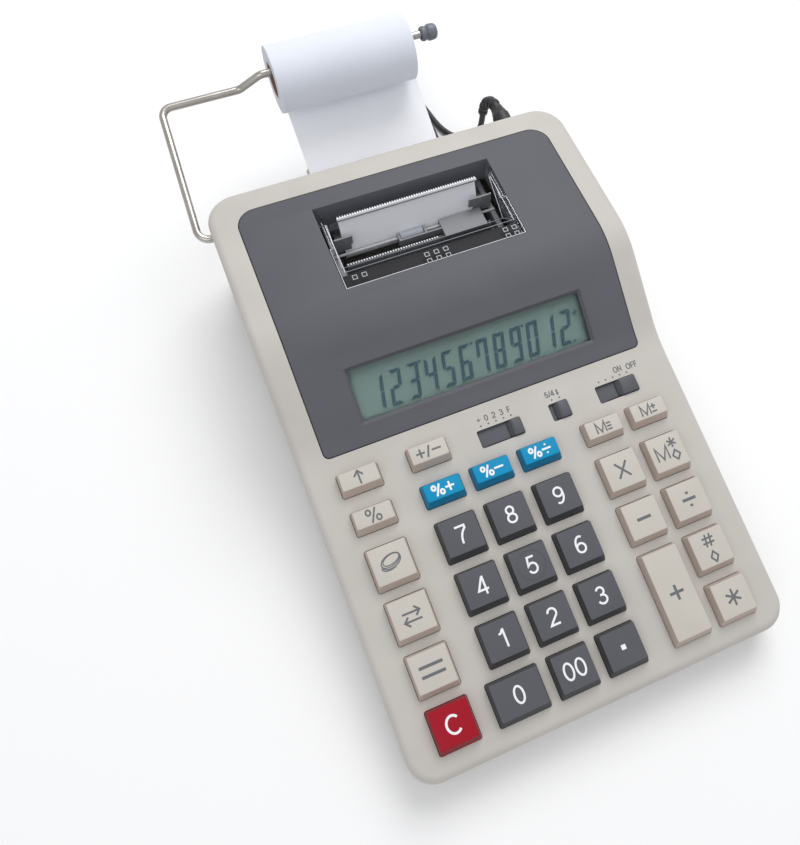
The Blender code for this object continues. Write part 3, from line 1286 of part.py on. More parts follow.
def build_plug():
    face = CASE_LENGTH + SEAT_GAP
    barrel_end = face + PLUG_BARREL_LENGTH
    places = (face - PLUG_NOSE_LENGTH, face, face, barrel_end, barrel_end + PLUG_NECK_LENGTH)
    path = [(JACK_X, y, JACK_HEIGHT) for y in places]
    radii = [PLUG_NOSE_RADIUS, PLUG_NOSE_RADIUS, PLUG_RADIUS, PLUG_RADIUS, PLUG_NECK_RADIUS]
    curve = smooth_path(from_jack(RELIEF_POINTS), SEAT_GAP)
    lengths = np.cumsum([0.0] + [float(np.linalg.norm(b - a)) for a, b in zip(curve, curve[1:])])
    bands = 2 * RELIEF_RIBS - 1
    for k in range(bands):
        for share in (k / bands, (k + 1) / bands):
            reach = share * lengths[-1]
            spot = [float(np.interp(reach, lengths, [p[axis] for p in curve])) for axis in range(3)]
            radius = RELIEF_RADIUS + (RELIEF_END_RADIUS - RELIEF_RADIUS) * share
            path.append(tuple(spot))
            radii.append(radius - (RELIEF_GROOVE if k % 2 else 0.0))
    plug = sweep("dc_plug", path, radii, PLUG_SIDES)
    return settled(plug, Matrix.Translation((JACK_X, face, JACK_HEIGHT)), "black_plastic")


def coil_points():
    """A piled coil: each layer spirals in or out, and it climbs in the half turn where the spiral reverses."""
    per_layer = round(LOOPS_PER_LAYER * POINTS_PER_LOOP)
    half_climb = POINTS_PER_LOOP // 4
    total = COIL_LAYERS * per_layer
    points = []
    for k in range(total + 1):
        layer, place = divmod(k, per_layer)
        inward = layer % 2 == 0
        share = place / per_layer
        radius = COIL_OUTER - COIL_PITCH * LOOPS_PER_LAYER * (share if inward else 1.0 - share)
        climb = 0.0
        for reversal in range(1, COIL_LAYERS):
            climb += min(max((k - reversal * per_layer + half_climb) / (2 * half_climb), 0.0), 1.0)
        angle = 2 * math.pi * k / POINTS_PER_LOOP
        x = JACK_X - COIL_ASIDE + radius * math.cos(angle)
        y = CASE_LENGTH + COIL_BEHIND + radius * math.sin(angle)
        points.append(Vector((x, y, CORD_FLOOR + COIL_LAYER_PITCH * climb)))
    return points


def least_gap(points):
    """The least gap of the tube to itself, leaving out neighbours along it."""
    spots = np.array([tuple(p) for p in points])
    apart = np.linalg.norm(spots[:, None] - spots[None], axis=2)
    index = np.arange(len(spots))
    near = np.abs(index[:, None] - index[None]) < POINTS_PER_LOOP // 3
    return float(np.min(np.where(near, np.inf, apart))) - 2 * CORD_RADIUS


def cord_object(name, points, resolution):
    curve = bpy.data.curves.new(name, "CURVE")
    curve.dimensions = "3D"
    curve.bevel_depth = CORD_RADIUS
    curve.bevel_resolution = resolution
    curve.use_fill_caps = True
    curve.render_resolution_u = 0
    spline = curve.splines.new("POLY")
    spline.points.add(len(points) - 1)
    for target, point in zip(spline.points, points):
        target.co = (*point, 1.0)
    obj = bpy.data.objects.new(name, curve)
    bpy.context.scene.collection.objects.link(obj)
    obj.data.materials.append(material("black_plastic"))
    return obj


def build_cords():
    coil = coil_points()
    tail = smooth_path([tuple(coil[-1])] + from_jack(TAIL_POINTS), CORD_STEP, tuple(coil[-2]))
    wound = coil + [Vector(p) for p in tail[1:]]
    into = (coil[1] - coil[0]).normalized()
    end = coil[0] - into * CORD_JOINT
    straight = end - into * 2 * CORD_RADIUS
    lead = [Vector(p) for p in smooth_path(from_jack(LEAD_POINTS) + [tuple(straight)], CORD_STEP)] + [end]
    length = sum((b - a).length for line in (lead, wound) for a, b in zip(line, line[1:]))
    print("lead length", round(length, 4), "points", len(lead), len(wound))
    print("least gap of the coil", round(least_gap(wound), 5))
    return [cord_object("cord_lead", lead, 2), cord_object("cord_coil", wound, 1)]


def build_adapter():
    right, end = ADAPTER_LEFT + ADAPTER_LENGTH, ADAPTER_START + ADAPTER_WIDTH

    def ring(inset, z):
        radius = ADAPTER_RADIUS - inset
        near, far = ADAPTER_START + inset, end - inset
        return rounded_ring(ADAPTER_LEFT + inset, right - inset, near, far, radius, z, ADAPTER_STEPS)

    edge, top = ADAPTER_EDGE, ADAPTER_HEIGHT
    adapter = loft("wall_adapter", [ring(edge, 0.0), ring(0.0, edge), ring(0.0, top - edge), ring(edge, top)])
    middle = (ADAPTER_START + end) / 2
    for y in (middle - PIN_SPACING / 2, middle + PIN_SPACING / 2):
        tip, root = ADAPTER_LEFT - PIN_LENGTH, ADAPTER_LEFT + ADAPTER_RADIUS
        join(adapter, rod_x("pin", tip, root, y, PIN_HEIGHT, PIN_RADIUS, PIN_SIDES))
    boot_path = [(BOOT_X, end - edge, PIN_HEIGHT), (BOOT_X, end + BOOT_LENGTH, PIN_HEIGHT)]
    join(adapter, sweep("boot", boot_path, [BOOT_RADIUS, BOOT_END_RADIUS], ROD_SIDES))
    centre = (ADAPTER_LEFT + ADAPTER_LENGTH / 2, middle, 0.0)
    return settled(adapter, Matrix.Translation(centre), "black_plastic")


# Assembly: all hangs on one empty, which sets the origin under the middle of everything but the lead
def main():
    pieces = [build_upper_case(), build_lower_case(), build_fascia()]
    pieces += build_display() + build_keys() + build_switches()
    pieces += [build_cover(), build_printer_frame()] + build_print_parts()
    pieces += [build_board(), build_key_mat(), build_battery_cover()] + build_feet()
    pieces += build_roll() + [build_web()] + build_arm()
    pieces.append(build_jack())
    corners = np.array([tuple(p.matrix_basis @ v.co) for p in pieces for v in p.data.vertices])
    low, high = corners.min(axis=0), corners.max(axis=0)
    root = bpy.data.objects.new("calculator", None)
    bpy.context.scene.collection.objects.link(root)
    root.location = (-(low[0] + high[0]) / 2, -(low[1] + high[1]) / 2, -low[2])
    print("origin at", [round(-v, 6) for v in root.location], "size", np.round(high - low, 5))
    for piece in pieces + [build_plug(), build_adapter()] + build_cords():
        piece.parent = root


main()
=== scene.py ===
import math

import bmesh
import bpy
import numpy as np
from mathutils import Matrix, Vector


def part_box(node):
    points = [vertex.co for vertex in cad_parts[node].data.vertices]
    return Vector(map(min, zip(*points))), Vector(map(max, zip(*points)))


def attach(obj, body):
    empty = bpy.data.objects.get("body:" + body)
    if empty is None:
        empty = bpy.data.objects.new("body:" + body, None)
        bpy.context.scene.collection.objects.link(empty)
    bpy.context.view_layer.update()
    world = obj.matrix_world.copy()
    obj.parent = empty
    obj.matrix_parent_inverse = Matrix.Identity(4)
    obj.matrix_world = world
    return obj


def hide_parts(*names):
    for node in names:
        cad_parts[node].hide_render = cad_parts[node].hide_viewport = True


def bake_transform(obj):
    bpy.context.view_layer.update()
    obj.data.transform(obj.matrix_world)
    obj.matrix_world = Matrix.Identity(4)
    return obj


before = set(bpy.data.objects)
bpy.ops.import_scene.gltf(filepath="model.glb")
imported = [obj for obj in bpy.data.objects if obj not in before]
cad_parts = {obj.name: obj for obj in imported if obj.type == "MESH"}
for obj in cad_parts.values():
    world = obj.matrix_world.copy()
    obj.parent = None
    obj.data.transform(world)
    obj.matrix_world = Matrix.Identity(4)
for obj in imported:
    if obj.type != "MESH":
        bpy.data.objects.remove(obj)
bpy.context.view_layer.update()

MM = 0.001

# Gaps that the solids keep, and how far a cutter runs over
SEAT_GAP = 0.3 * MM
OVERRUN = 6.0 * MM
FUSE = 0.5 * MM

# Case, as in the frame
CASE_HALF_WIDTH = 75.0 * MM
CASE_LENGTH = 226.0 * MM
CASE_FRONT_RADIUS = 10.0 * MM
CASE_REAR_RADIUS = 12.0 * MM
CASE_WALL = 2.2 * MM
CASE_EDGE_RADIUS = 3.0 * MM
DECK_THICKNESS = 2.4 * MM
LEDGE_THICKNESS = 2.5 * MM
PARTING_HEIGHT = 11.0 * MM
FRONT_HEIGHT = 19.0 * MM
KINK_BACK = 118.44 * MM
KINK_HEIGHT = 35.65 * MM
CREST_BACK = 155.92 * MM
CREST_HEIGHT = 55.58 * MM
REAR_HEIGHT = 51.42 * MM
KINK_RADIUS = 40.0 * MM
CREST_RADIUS = 30.0 * MM
ARC_STEPS = 24
CORNER_STEPS = 14
RING_CORNER_STEPS = 5
EDGE_STEPS = 8
SOFT_STEPS = 4
ROD_SIDES = 32
SMOOTH_ANGLE = 35.0

# Keys
KEY_PITCH = 19.4 * MM
GROUP_GAP = 7.2 * MM
COLUMN_STEPS = [(-2, -1), (-1, 0), (0, 0), (1, 0), (2, 1), (3, 1)]
MIDDLE_COLUMN = -9.75 * MM
FIRST_ROW = 110.8 * MM
SMALL_PITCH = 14.55 * MM
SMALL_HOLE = 9.15 * MM
BLOCK_START = 28.95 * MM
HOLE_WIDTH = 15.9 * MM
HOLE_DEPTH = 15.95 * MM
HOLE_RADIUS = 0.9 * MM
ZERO_EXTRA_WIDTH = 4.1 * MM
KEY_CLEARANCE = 0.2 * MM
KEY_RADIUS = 0.55 * MM
KEY_HEIGHT = 4.0 * MM
KEY_SHOULDER = 0.5 * MM
KEY_EDGE = 0.22 * MM
KEY_SIDE_INSET = 0.72 * MM
KEY_REAR_INSET = 0.35 * MM
KEY_FRONT_INSET = 2.0 * MM
KEY_FLANGE = 0.75 * MM
KEY_FLANGE_THICKNESS = 1.6 * MM
# Key faces that face up less than this share take the painted shade of the key's sides
SHADED_SIDE_LIMIT = 0.85

# Legends: each key's place, finish, signs, the height of its signs and their stroke's share of that height
DIGIT_HEIGHT = 6.6 * MM
DIGIT_STROKE = 0.115
KEY_TABLE = [
    ("key_feed", 0, 0, 0, "beige", "^", 5.2 * MM, 0.13),
    ("key_sign", 1, 0, 0, "beige", "p/m", 4.2 * MM, 0.17),
    ("key_percent", 0, 1, 1, "beige", "%", 5.2 * MM, 0.12),
    ("key_tax_plus", 1, 1, 1, "blue", "%p", 4.3 * MM, 0.17),
    ("key_tax_minus", 2, 1, 1, "blue", "%m", 4.3 * MM, 0.17),
    ("key_rate", 3, 1, 1, "blue", "%d", 4.3 * MM, 0.17),
    ("key_memory_equals", 4, 1, 1, "beige", "Me", 4.4 * MM, 0.14),
    ("key_memory_plus_minus", 5, 1, 1, "beige", "Mb", 4.4 * MM, 0.14),
    ("key_currency", 0, 2, 2, "beige", "$", 7.2 * MM, 0.055),
    ("key_7", 1, 2, 2, "dark", "7", DIGIT_HEIGHT, DIGIT_STROKE),
    ("key_8", 2, 2, 2, "dark", "8", DIGIT_HEIGHT, DIGIT_STROKE),
    ("key_9", 3, 2, 2, "dark", "9", DIGIT_HEIGHT, DIGIT_STROKE),
    ("key_multiply", 4, 2, 2, "beige", "X", 5.9 * MM, 0.14),
    ("key_memory_total", 5, 2, 2, "beige", "M;", 5.6 * MM, 0.12),
    ("key_local", 0, 3, 3, "beige", "~", 6.4 * MM, 0.11),
    ("key_4", 1, 3, 3, "dark", "4", DIGIT_HEIGHT, DIGIT_STROKE),
    ("key_5", 2, 3, 3, "dark", "5", DIGIT_HEIGHT, DIGIT_STROKE),
    ("key_6", 3, 3, 3, "dark", "6", DIGIT_HEIGHT, DIGIT_STROKE),
    ("key_minus", 4, 3, 3, "beige", "m", 6.8 * MM, 0.17),
    ("key_divide", 5, 3, 3, "beige", "d", 6.6 * MM, 0.17),
    ("key_equals", 0, 4, 4, "beige", "=", 6.7 * MM, 0.16),
    ("key_1", 1, 4, 4, "dark", "1", DIGIT_HEIGHT, DIGIT_STROKE),
    ("key_2", 2, 4, 4, "dark", "2", DIGIT_HEIGHT, DIGIT_STROKE),
    ("key_3", 3, 4, 4, "dark", "3", DIGIT_HEIGHT, DIGIT_STROKE),
    ("key_plus", 4, 4, 5, "beige", "p", 7.0 * MM, 0.15),
    ("key_subtotal", 5, 4, 4, "beige", ":", 5.6 * MM, 0.12),
    ("key_clear", 0, 5, 5, "red", "C", 6.6 * MM, 0.13),
    ("key_0", 1, 5, 5, "dark", "0", DIGIT_HEIGHT, DIGIT_STROKE),
    ("key_00", 2, 5, 5, "dark", "00", DIGIT_HEIGHT, DIGIT_STROKE),
    ("key_point", 3, 5, 5, "dark", ".", 6.6 * MM, 0.27),
    ("key_total", 5, 5, 5, "beige", "*", 6.4 * MM, 0.13),
]
LEGEND_RISE = 0.04 * MM
LEGEND_SINK = 0.02 * MM
LABEL_STROKE_SHARE = 0.18
LETTER_GAP_SHARE = 0.14
MITRE_LIMIT = 0.35
TOUCH_RING_RADIUS = 5.3 * MM
TOUCH_RING_WIDTH = 0.28 * MM
TOUCH_RING_RISE = 0.08 * MM

# Slide switches
DECIMALS_SLOT_RIGHT = 8.5 * MM
DECIMALS_SLOT_LENGTH = 17.8 * MM
DECIMALS_KNOB_LENGTH = 5.4 * MM
ROUNDING_SLOT_RIGHT = 28.4 * MM
ROUNDING_SLOT_LENGTH = 8.0 * MM
ROUNDING_KNOB_LENGTH = 5.7 * MM
POWER_SLOT_RIGHT = 57.8 * MM
POWER_SLOT_LENGTH = 17.3 * MM
POWER_KNOB_LENGTH = 8.4 * MM
SWITCH_TABLE = [
    ("switch_decimals", DECIMALS_SLOT_RIGHT, DECIMALS_SLOT_LENGTH, DECIMALS_KNOB_LENGTH),
    ("switch_rounding", ROUNDING_SLOT_RIGHT, ROUNDING_SLOT_LENGTH, ROUNDING_KNOB_LENGTH),
    ("switch_power", POWER_SLOT_RIGHT, POWER_SLOT_LENGTH, POWER_KNOB_LENGTH),
]
SLOT_START = 2.7 * MM
SLOT_WIDTH = 6.95 * MM
SLOT_DEPTH = 1.4 * MM
SLOT_RADIUS = 0.8 * MM
SLOT_LINER_WALL = 0.12 * MM
KNOB_CLEARANCE = 0.3 * MM
KNOB_HEIGHT = 1.0 * MM
KNOB_SLOPE = 1.9 * MM
KNOB_RADIUS = 0.7 * MM
KNOB_EDGE = 0.35 * MM
KNOB_STEM_HALF = 0.9 * MM
KNOB_STEM_HALF_DEPTH = 0.06 * MM
KNOB_STEM_FRONT = 0.5 * MM
SLIT_HALF_DEPTH = 0.13 * MM
KNOB_STEM_LENGTH = 6.4 * MM
LABEL_HEIGHT = 2.3 * MM
LABEL_DOT = 0.36 * MM
LABEL_DOT_SIDES = 16
LABEL_PLUS_SHARE = 0.8
LABEL_MARK_STROKE_SHARE = 0.3
LABEL_SQUEEZE_SHARE = 0.9
DOT_RISE = 1.4 * MM
LABEL_RISE = 2.65 * MM
DECIMALS_DOT_PITCH = 3.1 * MM
DECIMALS_FIRST_DOT = -6.8 * MM
ROUNDING_DOT_PITCH = 3.15 * MM
ROUNDING_FIRST_DOT = 22.8 * MM
POWER_DOT_PITCH = 3.08 * MM
POWER_FIRST_DOT = 43.1 * MM
POWER_OFF_X = 58.5 * MM
POWER_ON_DOT = 3

# Fascia, window and display
FASCIA_HALF_WIDTH = 64.6 * MM
FASCIA_FRONT = 116.6 * MM
FASCIA_REAR = 215.5 * MM
FASCIA_FRONT_RADIUS = 2.0 * MM
FASCIA_REAR_RADIUS = 7.5 * MM
FASCIA_THICKNESS = 2.0 * MM
FASCIA_GAP = 0.4 * MM
FASCIA_EDGE = 0.25 * MM
LEDGE_WIDTH = 3.5 * MM
WINDOW_HALF_WIDTH = 46.8 * MM
WINDOW_START = 6.6 * MM
WINDOW_DEPTH = 19.15 * MM
WINDOW_BEVEL = 1.2 * MM
WINDOW_RADIUS = 1.0 * MM
WINDOW_THICKNESS = 1.2 * MM
DISPLAY_DEPTH = 3.6 * MM
DISPLAY_MARGIN = 2.0 * MM
MODULE_THICKNESS = 5.4 * MM
DISPLAY_DIGITS = "123456789012"
CELL_LEFT = -41.7 * MM
CELL_PITCH = 7.03 * MM
CELL_WIDTH = 4.6 * MM
CELL_BOTTOM = 7.8 * MM
CELL_HEIGHT = 13.1 * MM
CELL_SLANT_SHARE = 0.185
SEGMENT_WIDTH = 1.3 * MM
TICK_SIZE = 0.85 * MM
SIGN_REACH = 1.1 * MM
SIGN_HALF_LINE = 0.22 * MM
SEGMENT_GAP = 0.16 * MM
SEGMENT_THICKNESS = 0.03 * MM
SEGMENT_TIP_SHARE = 0.6
COMMA_EVERY = 3
DIGIT_SHADOW_DROP = 0.35 * MM

# Printer opening, cover and mechanism
PRINTER_HALF_WIDTH = 36.6 * MM
PRINTER_START = 13.06 * MM
PRINTER_LENGTH = 38.77 * MM
SKIRT_WALL = 1.5 * MM
SKIRT_DEPTH = 11.5 * MM
COVER_THICKNESS = 1.2 * MM
LIP_DEPTH = 7.0 * MM
TROUGH_BACK = 27.8 * MM
TROUGH_DEPTH = 8.1 * MM
WINDOW_END = 43.2 * MM
COVER_BEND = 1.1 * MM
COVER_BEND_STEPS = 5
COVER_HALF_WIDTH = 34.8 * MM
CHEEK_THICKNESS = 1.0 * MM
FLANGE_OUTER = 36.3 * MM
FLANGE_NECK = 35.4 * MM
FLANGE_STEP = 31.9 * MM
HINGE_BACK = 46.6 * MM
HINGE_DEPTH = 1.9 * MM
HINGE_LUG_RADIUS = 1.8 * MM
HINGE_LUG_INNER = 34.2 * MM
HINGE_PIN_RADIUS = 1.2 * MM
HINGE_PIN_REACH = 1.1 * MM
TEAR_LEFT = -29.4 * MM
TEAR_RIGHT = 28.4 * MM
TEAR_PITCH = 1.0 * MM
TEAR_BACK = 43.9 * MM
TEAR_TOOTH = 1.1 * MM
TEAR_RISE = 0.45 * MM
TEAR_SINK = 0.35 * MM
NIP_BACK = 38.77 * MM
NIP_DEPTH = 13.23 * MM
PAPER_END_BACK = 44.48 * MM
PAPER_END_DEPTH = 0.9 * MM
TEAR_BAND = 0.9 * MM
EDGE_RADIUS = 0.13 * MM
EDGE_SIDES = 8
SHELF_HALF_WIDTH = 36.3 * MM
SHELF_END = 19.9 * MM
SHELF_TOP = 1.75 * MM
SHELF_DEPTH = 2.5 * MM
FRAME_INNER = 32.2 * MM
RACK_START = 30.6 * MM
RACK_WIDTH = 1.8 * MM
RACK_ROOT_DEPTH = 13.0 * MM
RACK_TOOTH = 0.9 * MM
RACK_PITCH = 1.1 * MM
RACK_TOOTH_SHARE = 0.5
RACK_END_GAP = 1.4 * MM
RACK_SHOWN_WIDTH = 0.7 * MM
RACK_SHOWN_TO = 7.2 * MM
GUIDE_START = 38.2 * MM
GUIDE_WIDTH = 0.7 * MM
GUIDE_TOP = 4.5 * MM
GUIDE_BOTTOM = 9.0 * MM
GUIDE_REACH = 32.9 * MM
GUIDE_LEFT = -25.6 * MM
GUIDE_RIGHT = 23.4 * MM
PLATEN_RADIUS = 5.0 * MM
PLATEN_PAPER_GAP = 0.2 * MM
AXLE_CLEARANCE = 0.3 * MM

# Embossed squares on the cover's lip
SQUARE_SIZE = 1.9 * MM
SQUARE_LINE = 0.26 * MM
SQUARE_HOLE = SQUARE_SIZE - 2 * SQUARE_LINE
SQUARE_RISE = 0.25 * MM
SQUARE_BACK = 16.9 * MM
SQUARE_ROW_PITCH = 3.0 * MM
SQUARE_ROWS = [
    (-31.7 * MM, -28.0 * MM, -3.2 * MM, 0.6 * MM, 4.4 * MM, 29.2 * MM, 32.9 * MM),
    (-3.2 * MM, 0.6 * MM, 4.4 * MM, 29.2 * MM, 32.9 * MM),
]

# Paper roll and its core
ROLL_BACK = 266.0 * MM
ROLL_HEIGHT = 59.3 * MM
ROLL_RADIUS = 12.9 * MM
ROLL_LEFT = -32.0 * MM
ROLL_WIDTH = 57.0 * MM
CORE_BORE = 6.0 * MM
CORE_WALL = 0.7 * MM
ROLL_SIDES = 128
ROLL_BEVEL = 0.15 * MM
END_FACE_LIMIT = 0.9
LAYER_PITCH = 0.35 * MM

# Wire arm and its cap
ARM_RADIUS = 1.5 * MM
PIVOT_BACK = 214.0 * MM
PIVOT_HEIGHT = 44.0 * MM
ARM_INNER_END = -61.0 * MM
ARM_SIDE = 80.0 * MM
CROSSBAR_SIDE = 76.6 * MM
CROSSBAR_BACK = 267.0 * MM
CROSSBAR_HEIGHT = 57.7 * MM
JOG_START = -45.5 * MM
JOG_END = -36.5 * MM
SPINDLE_END = 35.0 * MM
ARM_BEND = 4.2 * MM
ARM_SIDES = 28
BEND_STEPS = 12
BOSS_RADIUS = 4.0 * MM
BOSS_LENGTH = 10.5 * MM
CAP_LEFT = 30.9 * MM
CAP_LENGTH = 7.2 * MM
CAP_RADIUS = 3.2 * MM
CAP_SIDES = 40
CAP_SHAPE_SHARES = [
    (0.0, 0.74), (0.02, 0.79), (0.06, 0.86), (0.12, 0.9), (0.24, 0.9), (0.27, 0.86), (0.3, 0.79),
    (0.33, 0.77), (0.36, 0.8), (0.39, 0.9), (0.43, 0.97), (0.5, 1.0), (0.67, 1.0), (0.78, 0.97),
    (0.87, 0.9), (0.93, 0.79), (0.97, 0.64), (0.99, 0.48), (1.0, 0.3),
]

# Web of paper
WEB_LEFT = -29.0 * MM
WEB_WIDTH = 57.0 * MM
WEB_THICKNESS = 0.16 * MM
WEB_FALL_SHARE = 0.41
WEB_DIP_BACK = 212.0 * MM
WEB_DIP_RADIUS = 12.0 * MM
WEB_ARC_STEPS = 16
WEB_STRAIGHT_STEPS = 12
WALL_SLOT_BELOW = 2.3 * MM
WALL_SLOT_ABOVE = 7.0 * MM
WALL_SLOT_MARGIN = 0.6 * MM

# Jack and plug
JACK_X = 61.0 * MM
JACK_HEIGHT = 30.0 * MM
PLUG_CLEARANCE = 0.3 * MM
PLUG_NOSE_RADIUS = 2.75 * MM
PLUG_NOSE_LENGTH = 11.3 * MM
PLUG_RADIUS = 3.9 * MM
PLUG_BARREL_LENGTH = 17.0 * MM
PLUG_NECK_RADIUS = 3.2 * MM
PLUG_NECK_LENGTH = 2.0 * MM
PLUG_EDGE = 0.4 * MM
RELIEF_PATH_MM = [
    (61.0, 246.0, 30.0), (60.9, 250.0, 29.8), (60.5, 253.4, 28.3), (59.9, 255.8, 25.4), (59.5, 256.8, 21.6),
    (59.4, 257.0, 18.4),
]
RELIEF_RADIUS = 2.8 * MM
RELIEF_END_RADIUS = 2.2 * MM
RELIEF_RIBS = 6
RELIEF_GROOVE = 0.5 * MM
RELIEF_SOFT_SHARE = 0.12
PLUG_SIDES = 32

# Lead, with the same route as the solids
CORD_RADIUS = 1.4 * MM
CORD_FLOOR = 1.5 * MM
CORD_STEP = 3.0 * MM
LEAD_PATH_MM = [
    (59.4, 257.0, 18.1), (59.4, 257.0, 13.0), (58.7, 257.3, 7.4), (55.8, 258.3, 2.8), (51.5, 259.8, 1.5),
    (46.6, 263.0, 1.5), (43.0, 270.0, 1.5), (40.9, 280.0, 1.5), (38.7, 291.0, 1.5),
]
COIL_X = 14.3 * MM
COIL_BACK = 305.0 * MM
COIL_OUTER = 22.1 * MM
COIL_PITCH = 3.4 * MM
COIL_LAYER_PITCH = 3.4 * MM
COIL_LAYERS = 4
LOOPS_PER_LAYER = 3.125
POINTS_PER_LOOP = 24
CORD_JOINT = 0.3 * MM
TAIL_PATH_MM = [
    (-7.6, 297.5, 11.9), (-6.2, 288.0, 12.2), (-3.9, 281.0, 12.3), (-2.3, 276.0, 12.3), (-2.0, 273.0, 12.3),
    (-2.0, 270.0, 12.3),
]

# Wall adapter
ADAPTER_LEFT = -9.0 * MM
ADAPTER_LENGTH = 42.0 * MM
ADAPTER_START = 230.0 * MM
ADAPTER_WIDTH = 33.0 * MM
ADAPTER_HEIGHT = 24.0 * MM
ADAPTER_RADIUS = 3.0 * MM
ADAPTER_EDGE = 1.2 * MM
ADAPTER_SEAM = 0.15 * MM
PIN_RADIUS = 2.0 * MM
PIN_LENGTH = 18.0 * MM
PIN_SPACING = 19.0 * MM
PIN_HEIGHT = 12.3 * MM
PIN_SIDES = 24
PIN_TIP_SHARES = [(1.0, 1.0), (0.5, 0.87), (0.13, 0.5), (0.0, 0.2)]
SLEEVE_SHARE = 0.5
SLEEVE_INSET = 0.02 * MM
BOOT_X = -2.0 * MM
BOOT_RADIUS = 3.0 * MM
BOOT_END_RADIUS = 2.1 * MM
BOOT_LENGTH = 6.7 * MM
BOOT_RIBS = 4

# Camera: place in the frame's axes, its turn, its lens and the sideways shift of its picture
CAMERA_PLACE = (-67.1 * MM, -118.34 * MM, 311.86 * MM)
CAMERA_TURN = (20.9604, -4.8594, -23.1855)
CAMERA_LENS = 35.775
CAMERA_SHIFT = -0.1
CAMERA_SENSOR = 36.0
CAMERA_NEAR = 0.01

# Floor, soft room light and the lamps: name, place, size and power of each
FLOOR_SIZE = 6.0
FLOOR_COLOUR = (0.9, 0.9, 0.9)
FLOOR_ROUGHNESS = 0.9
ROOM_COLOUR = (0.97, 0.98, 1.0, 1.0)
ROOM_STRENGTH = 0.62
LAMPS = [
    ("key_light", (0.35, 0.5, 0.85), 0.7, 6.8),
    ("fill_light", (-0.6, -0.6, 1.0), 0.8, 2.3),
]

# Surface detail: noise scales are in waves to a metre, and depths are lengths
DRIFT_SCALE = 60.0
DRIFT_GLOSS = 0.05
RAMP_LOW = 0.3
RAMP_HIGH = 0.7
GRAIN_DEPTH_SHARE = 0.12
WAVE_SCALE = 20.0
LINE_DEPTH = 0.03 * MM
RING_DEPTH = 0.05 * MM
FLECK_DEPTH = 0.04 * MM
FOIL_DEPTH = 0.02 * MM
PAPER_GLOW = (2.0 * MM, 2.0 * MM, 2.0 * MM)
DULL_SPECULAR = 0.22
FLOOR_SPECULAR = 0.1


# Materials
def put(node, values):
    """Sets plain values on a node's sockets."""
    for socket, value in values.items():
        node.inputs[socket].default_value = value


class Surface:
    """A Principled material, built up with a few texture nodes."""

    def __init__(self, name, colour, roughness, metallic=0.0):
        self.colour = colour
        self.made = bpy.data.materials.new(name)
        self.made.use_nodes = True
        self.nodes = self.made.node_tree.nodes
        self.principled = self.nodes["Principled BSDF"]
        put(self.principled, {"Base Color": (*colour, 1.0), "Roughness": roughness, "Metallic": metallic})

    def add(self, kind, values=None):
        node = self.nodes.new("ShaderNode" + kind)
        put(node, values or {})
        return node

    def link(self, source, output, target, socket):
        self.made.node_tree.links.new(source.outputs[output], target.inputs[socket])

    def textured(self, kind, values):
        """A texture in the object's own coordinates."""
        place = self.add("TexCoord")
        texture = self.add(kind, values)
        self.link(place, "Object", texture, "Vector")
        return texture

    def noise(self, scale, detail=2.0):
        return self.textured("TexNoise", {"Scale": scale, "Detail": detail})

    def shades(self, source, spread):
        """Lets the colour drift by a small share either way."""
        ramp = self.add("ValToRGB")
        low, high = ramp.color_ramp.elements
        low.position, high.position = RAMP_LOW, RAMP_HIGH
        low.color = (*[c * (1.0 - spread) for c in self.colour], 1.0)
        high.color = (*[c * (1.0 + spread) for c in self.colour], 1.0)
        self.link(source, "Fac", ramp, "Fac")
        self.link(ramp, "Color", self.principled, "Base Color")

    def bump(self, source, strength, distance):
        bump = self.add("Bump", {"Strength": strength, "Distance": distance})
        self.link(source, "Fac", bump, "Height")
        self.link(bump, "Normal", self.principled, "Normal")

    def gloss(self, source, low, high):
        spread = self.add("MapRange", {"To Min": low, "To Max": high})
        self.link(source, "Fac", spread, "Value")
        self.link(spread, "Result", self.principled, "Roughness")


def moulded(name, colour, roughness, grain, strength, spread=0.03):
    """Moulded plastic: a fine spark-eroded grain, and a slow drift of colour and gloss."""
    surface = Surface(name, colour, roughness)
    fine = surface.noise(1.0 / grain, 3.0)
    slow = surface.noise(DRIFT_SCALE)
    surface.shades(slow, spread)
    surface.gloss(slow, roughness - DRIFT_GLOSS, roughness + DRIFT_GLOSS)
    surface.bump(fine, strength, grain * GRAIN_DEPTH_SHARE)
    return surface.made


def clear_plastic(name, tint, roughness, index):
    """Clear plastic that lets the light through to what lies under it."""
    surface = Surface(name, tint, roughness)
    surface.gloss(surface.noise(DRIFT_SCALE), roughness * 0.6, roughness * 1.4)
    put(surface.principled, {"Transmission Weight": 1.0, "IOR": index})
    rays = surface.add("LightPath")
    through = surface.add("BsdfTransparent", {"Color": (*[c * 0.98 for c in tint], 1.0)})
    mix = surface.add("MixShader")
    surface.link(rays, "Is Shadow Ray", mix, "Fac")
    surface.link(surface.principled, "BSDF", mix, 1)
    surface.link(through, "BSDF", mix, 2)
    surface.link(mix, "Shader", surface.nodes["Material Output"], "Surface")
    return surface.made


def plated_wire():
    """Bright plated wire with faint drawing lines and a little tarnish."""
    surface = Surface("plated_wire", (0.5, 0.478, 0.44), 0.27, 1.0)
    tarnish = surface.noise(120.0)
    surface.shades(tarnish, 0.08)
    surface.gloss(tarnish, 0.24, 0.32)
    surface.bump(surface.noise(1800.0), 0.04, LINE_DEPTH)
    return surface.made


def paper_surface(name, colour):
    """Uncoated paper: very fine fibres, a little light through it."""
    surface = Surface(name, colour, 0.75)
    glow = {"Subsurface Weight": 0.15, "Subsurface Radius": PAPER_GLOW, "Subsurface Scale": 0.5}
    put(surface.principled, glow)
    surface.bump(surface.noise(2600.0, 6.0), 0.25, LINE_DEPTH)
    surface.shades(surface.noise(45.0), 0.012)
    return surface.made


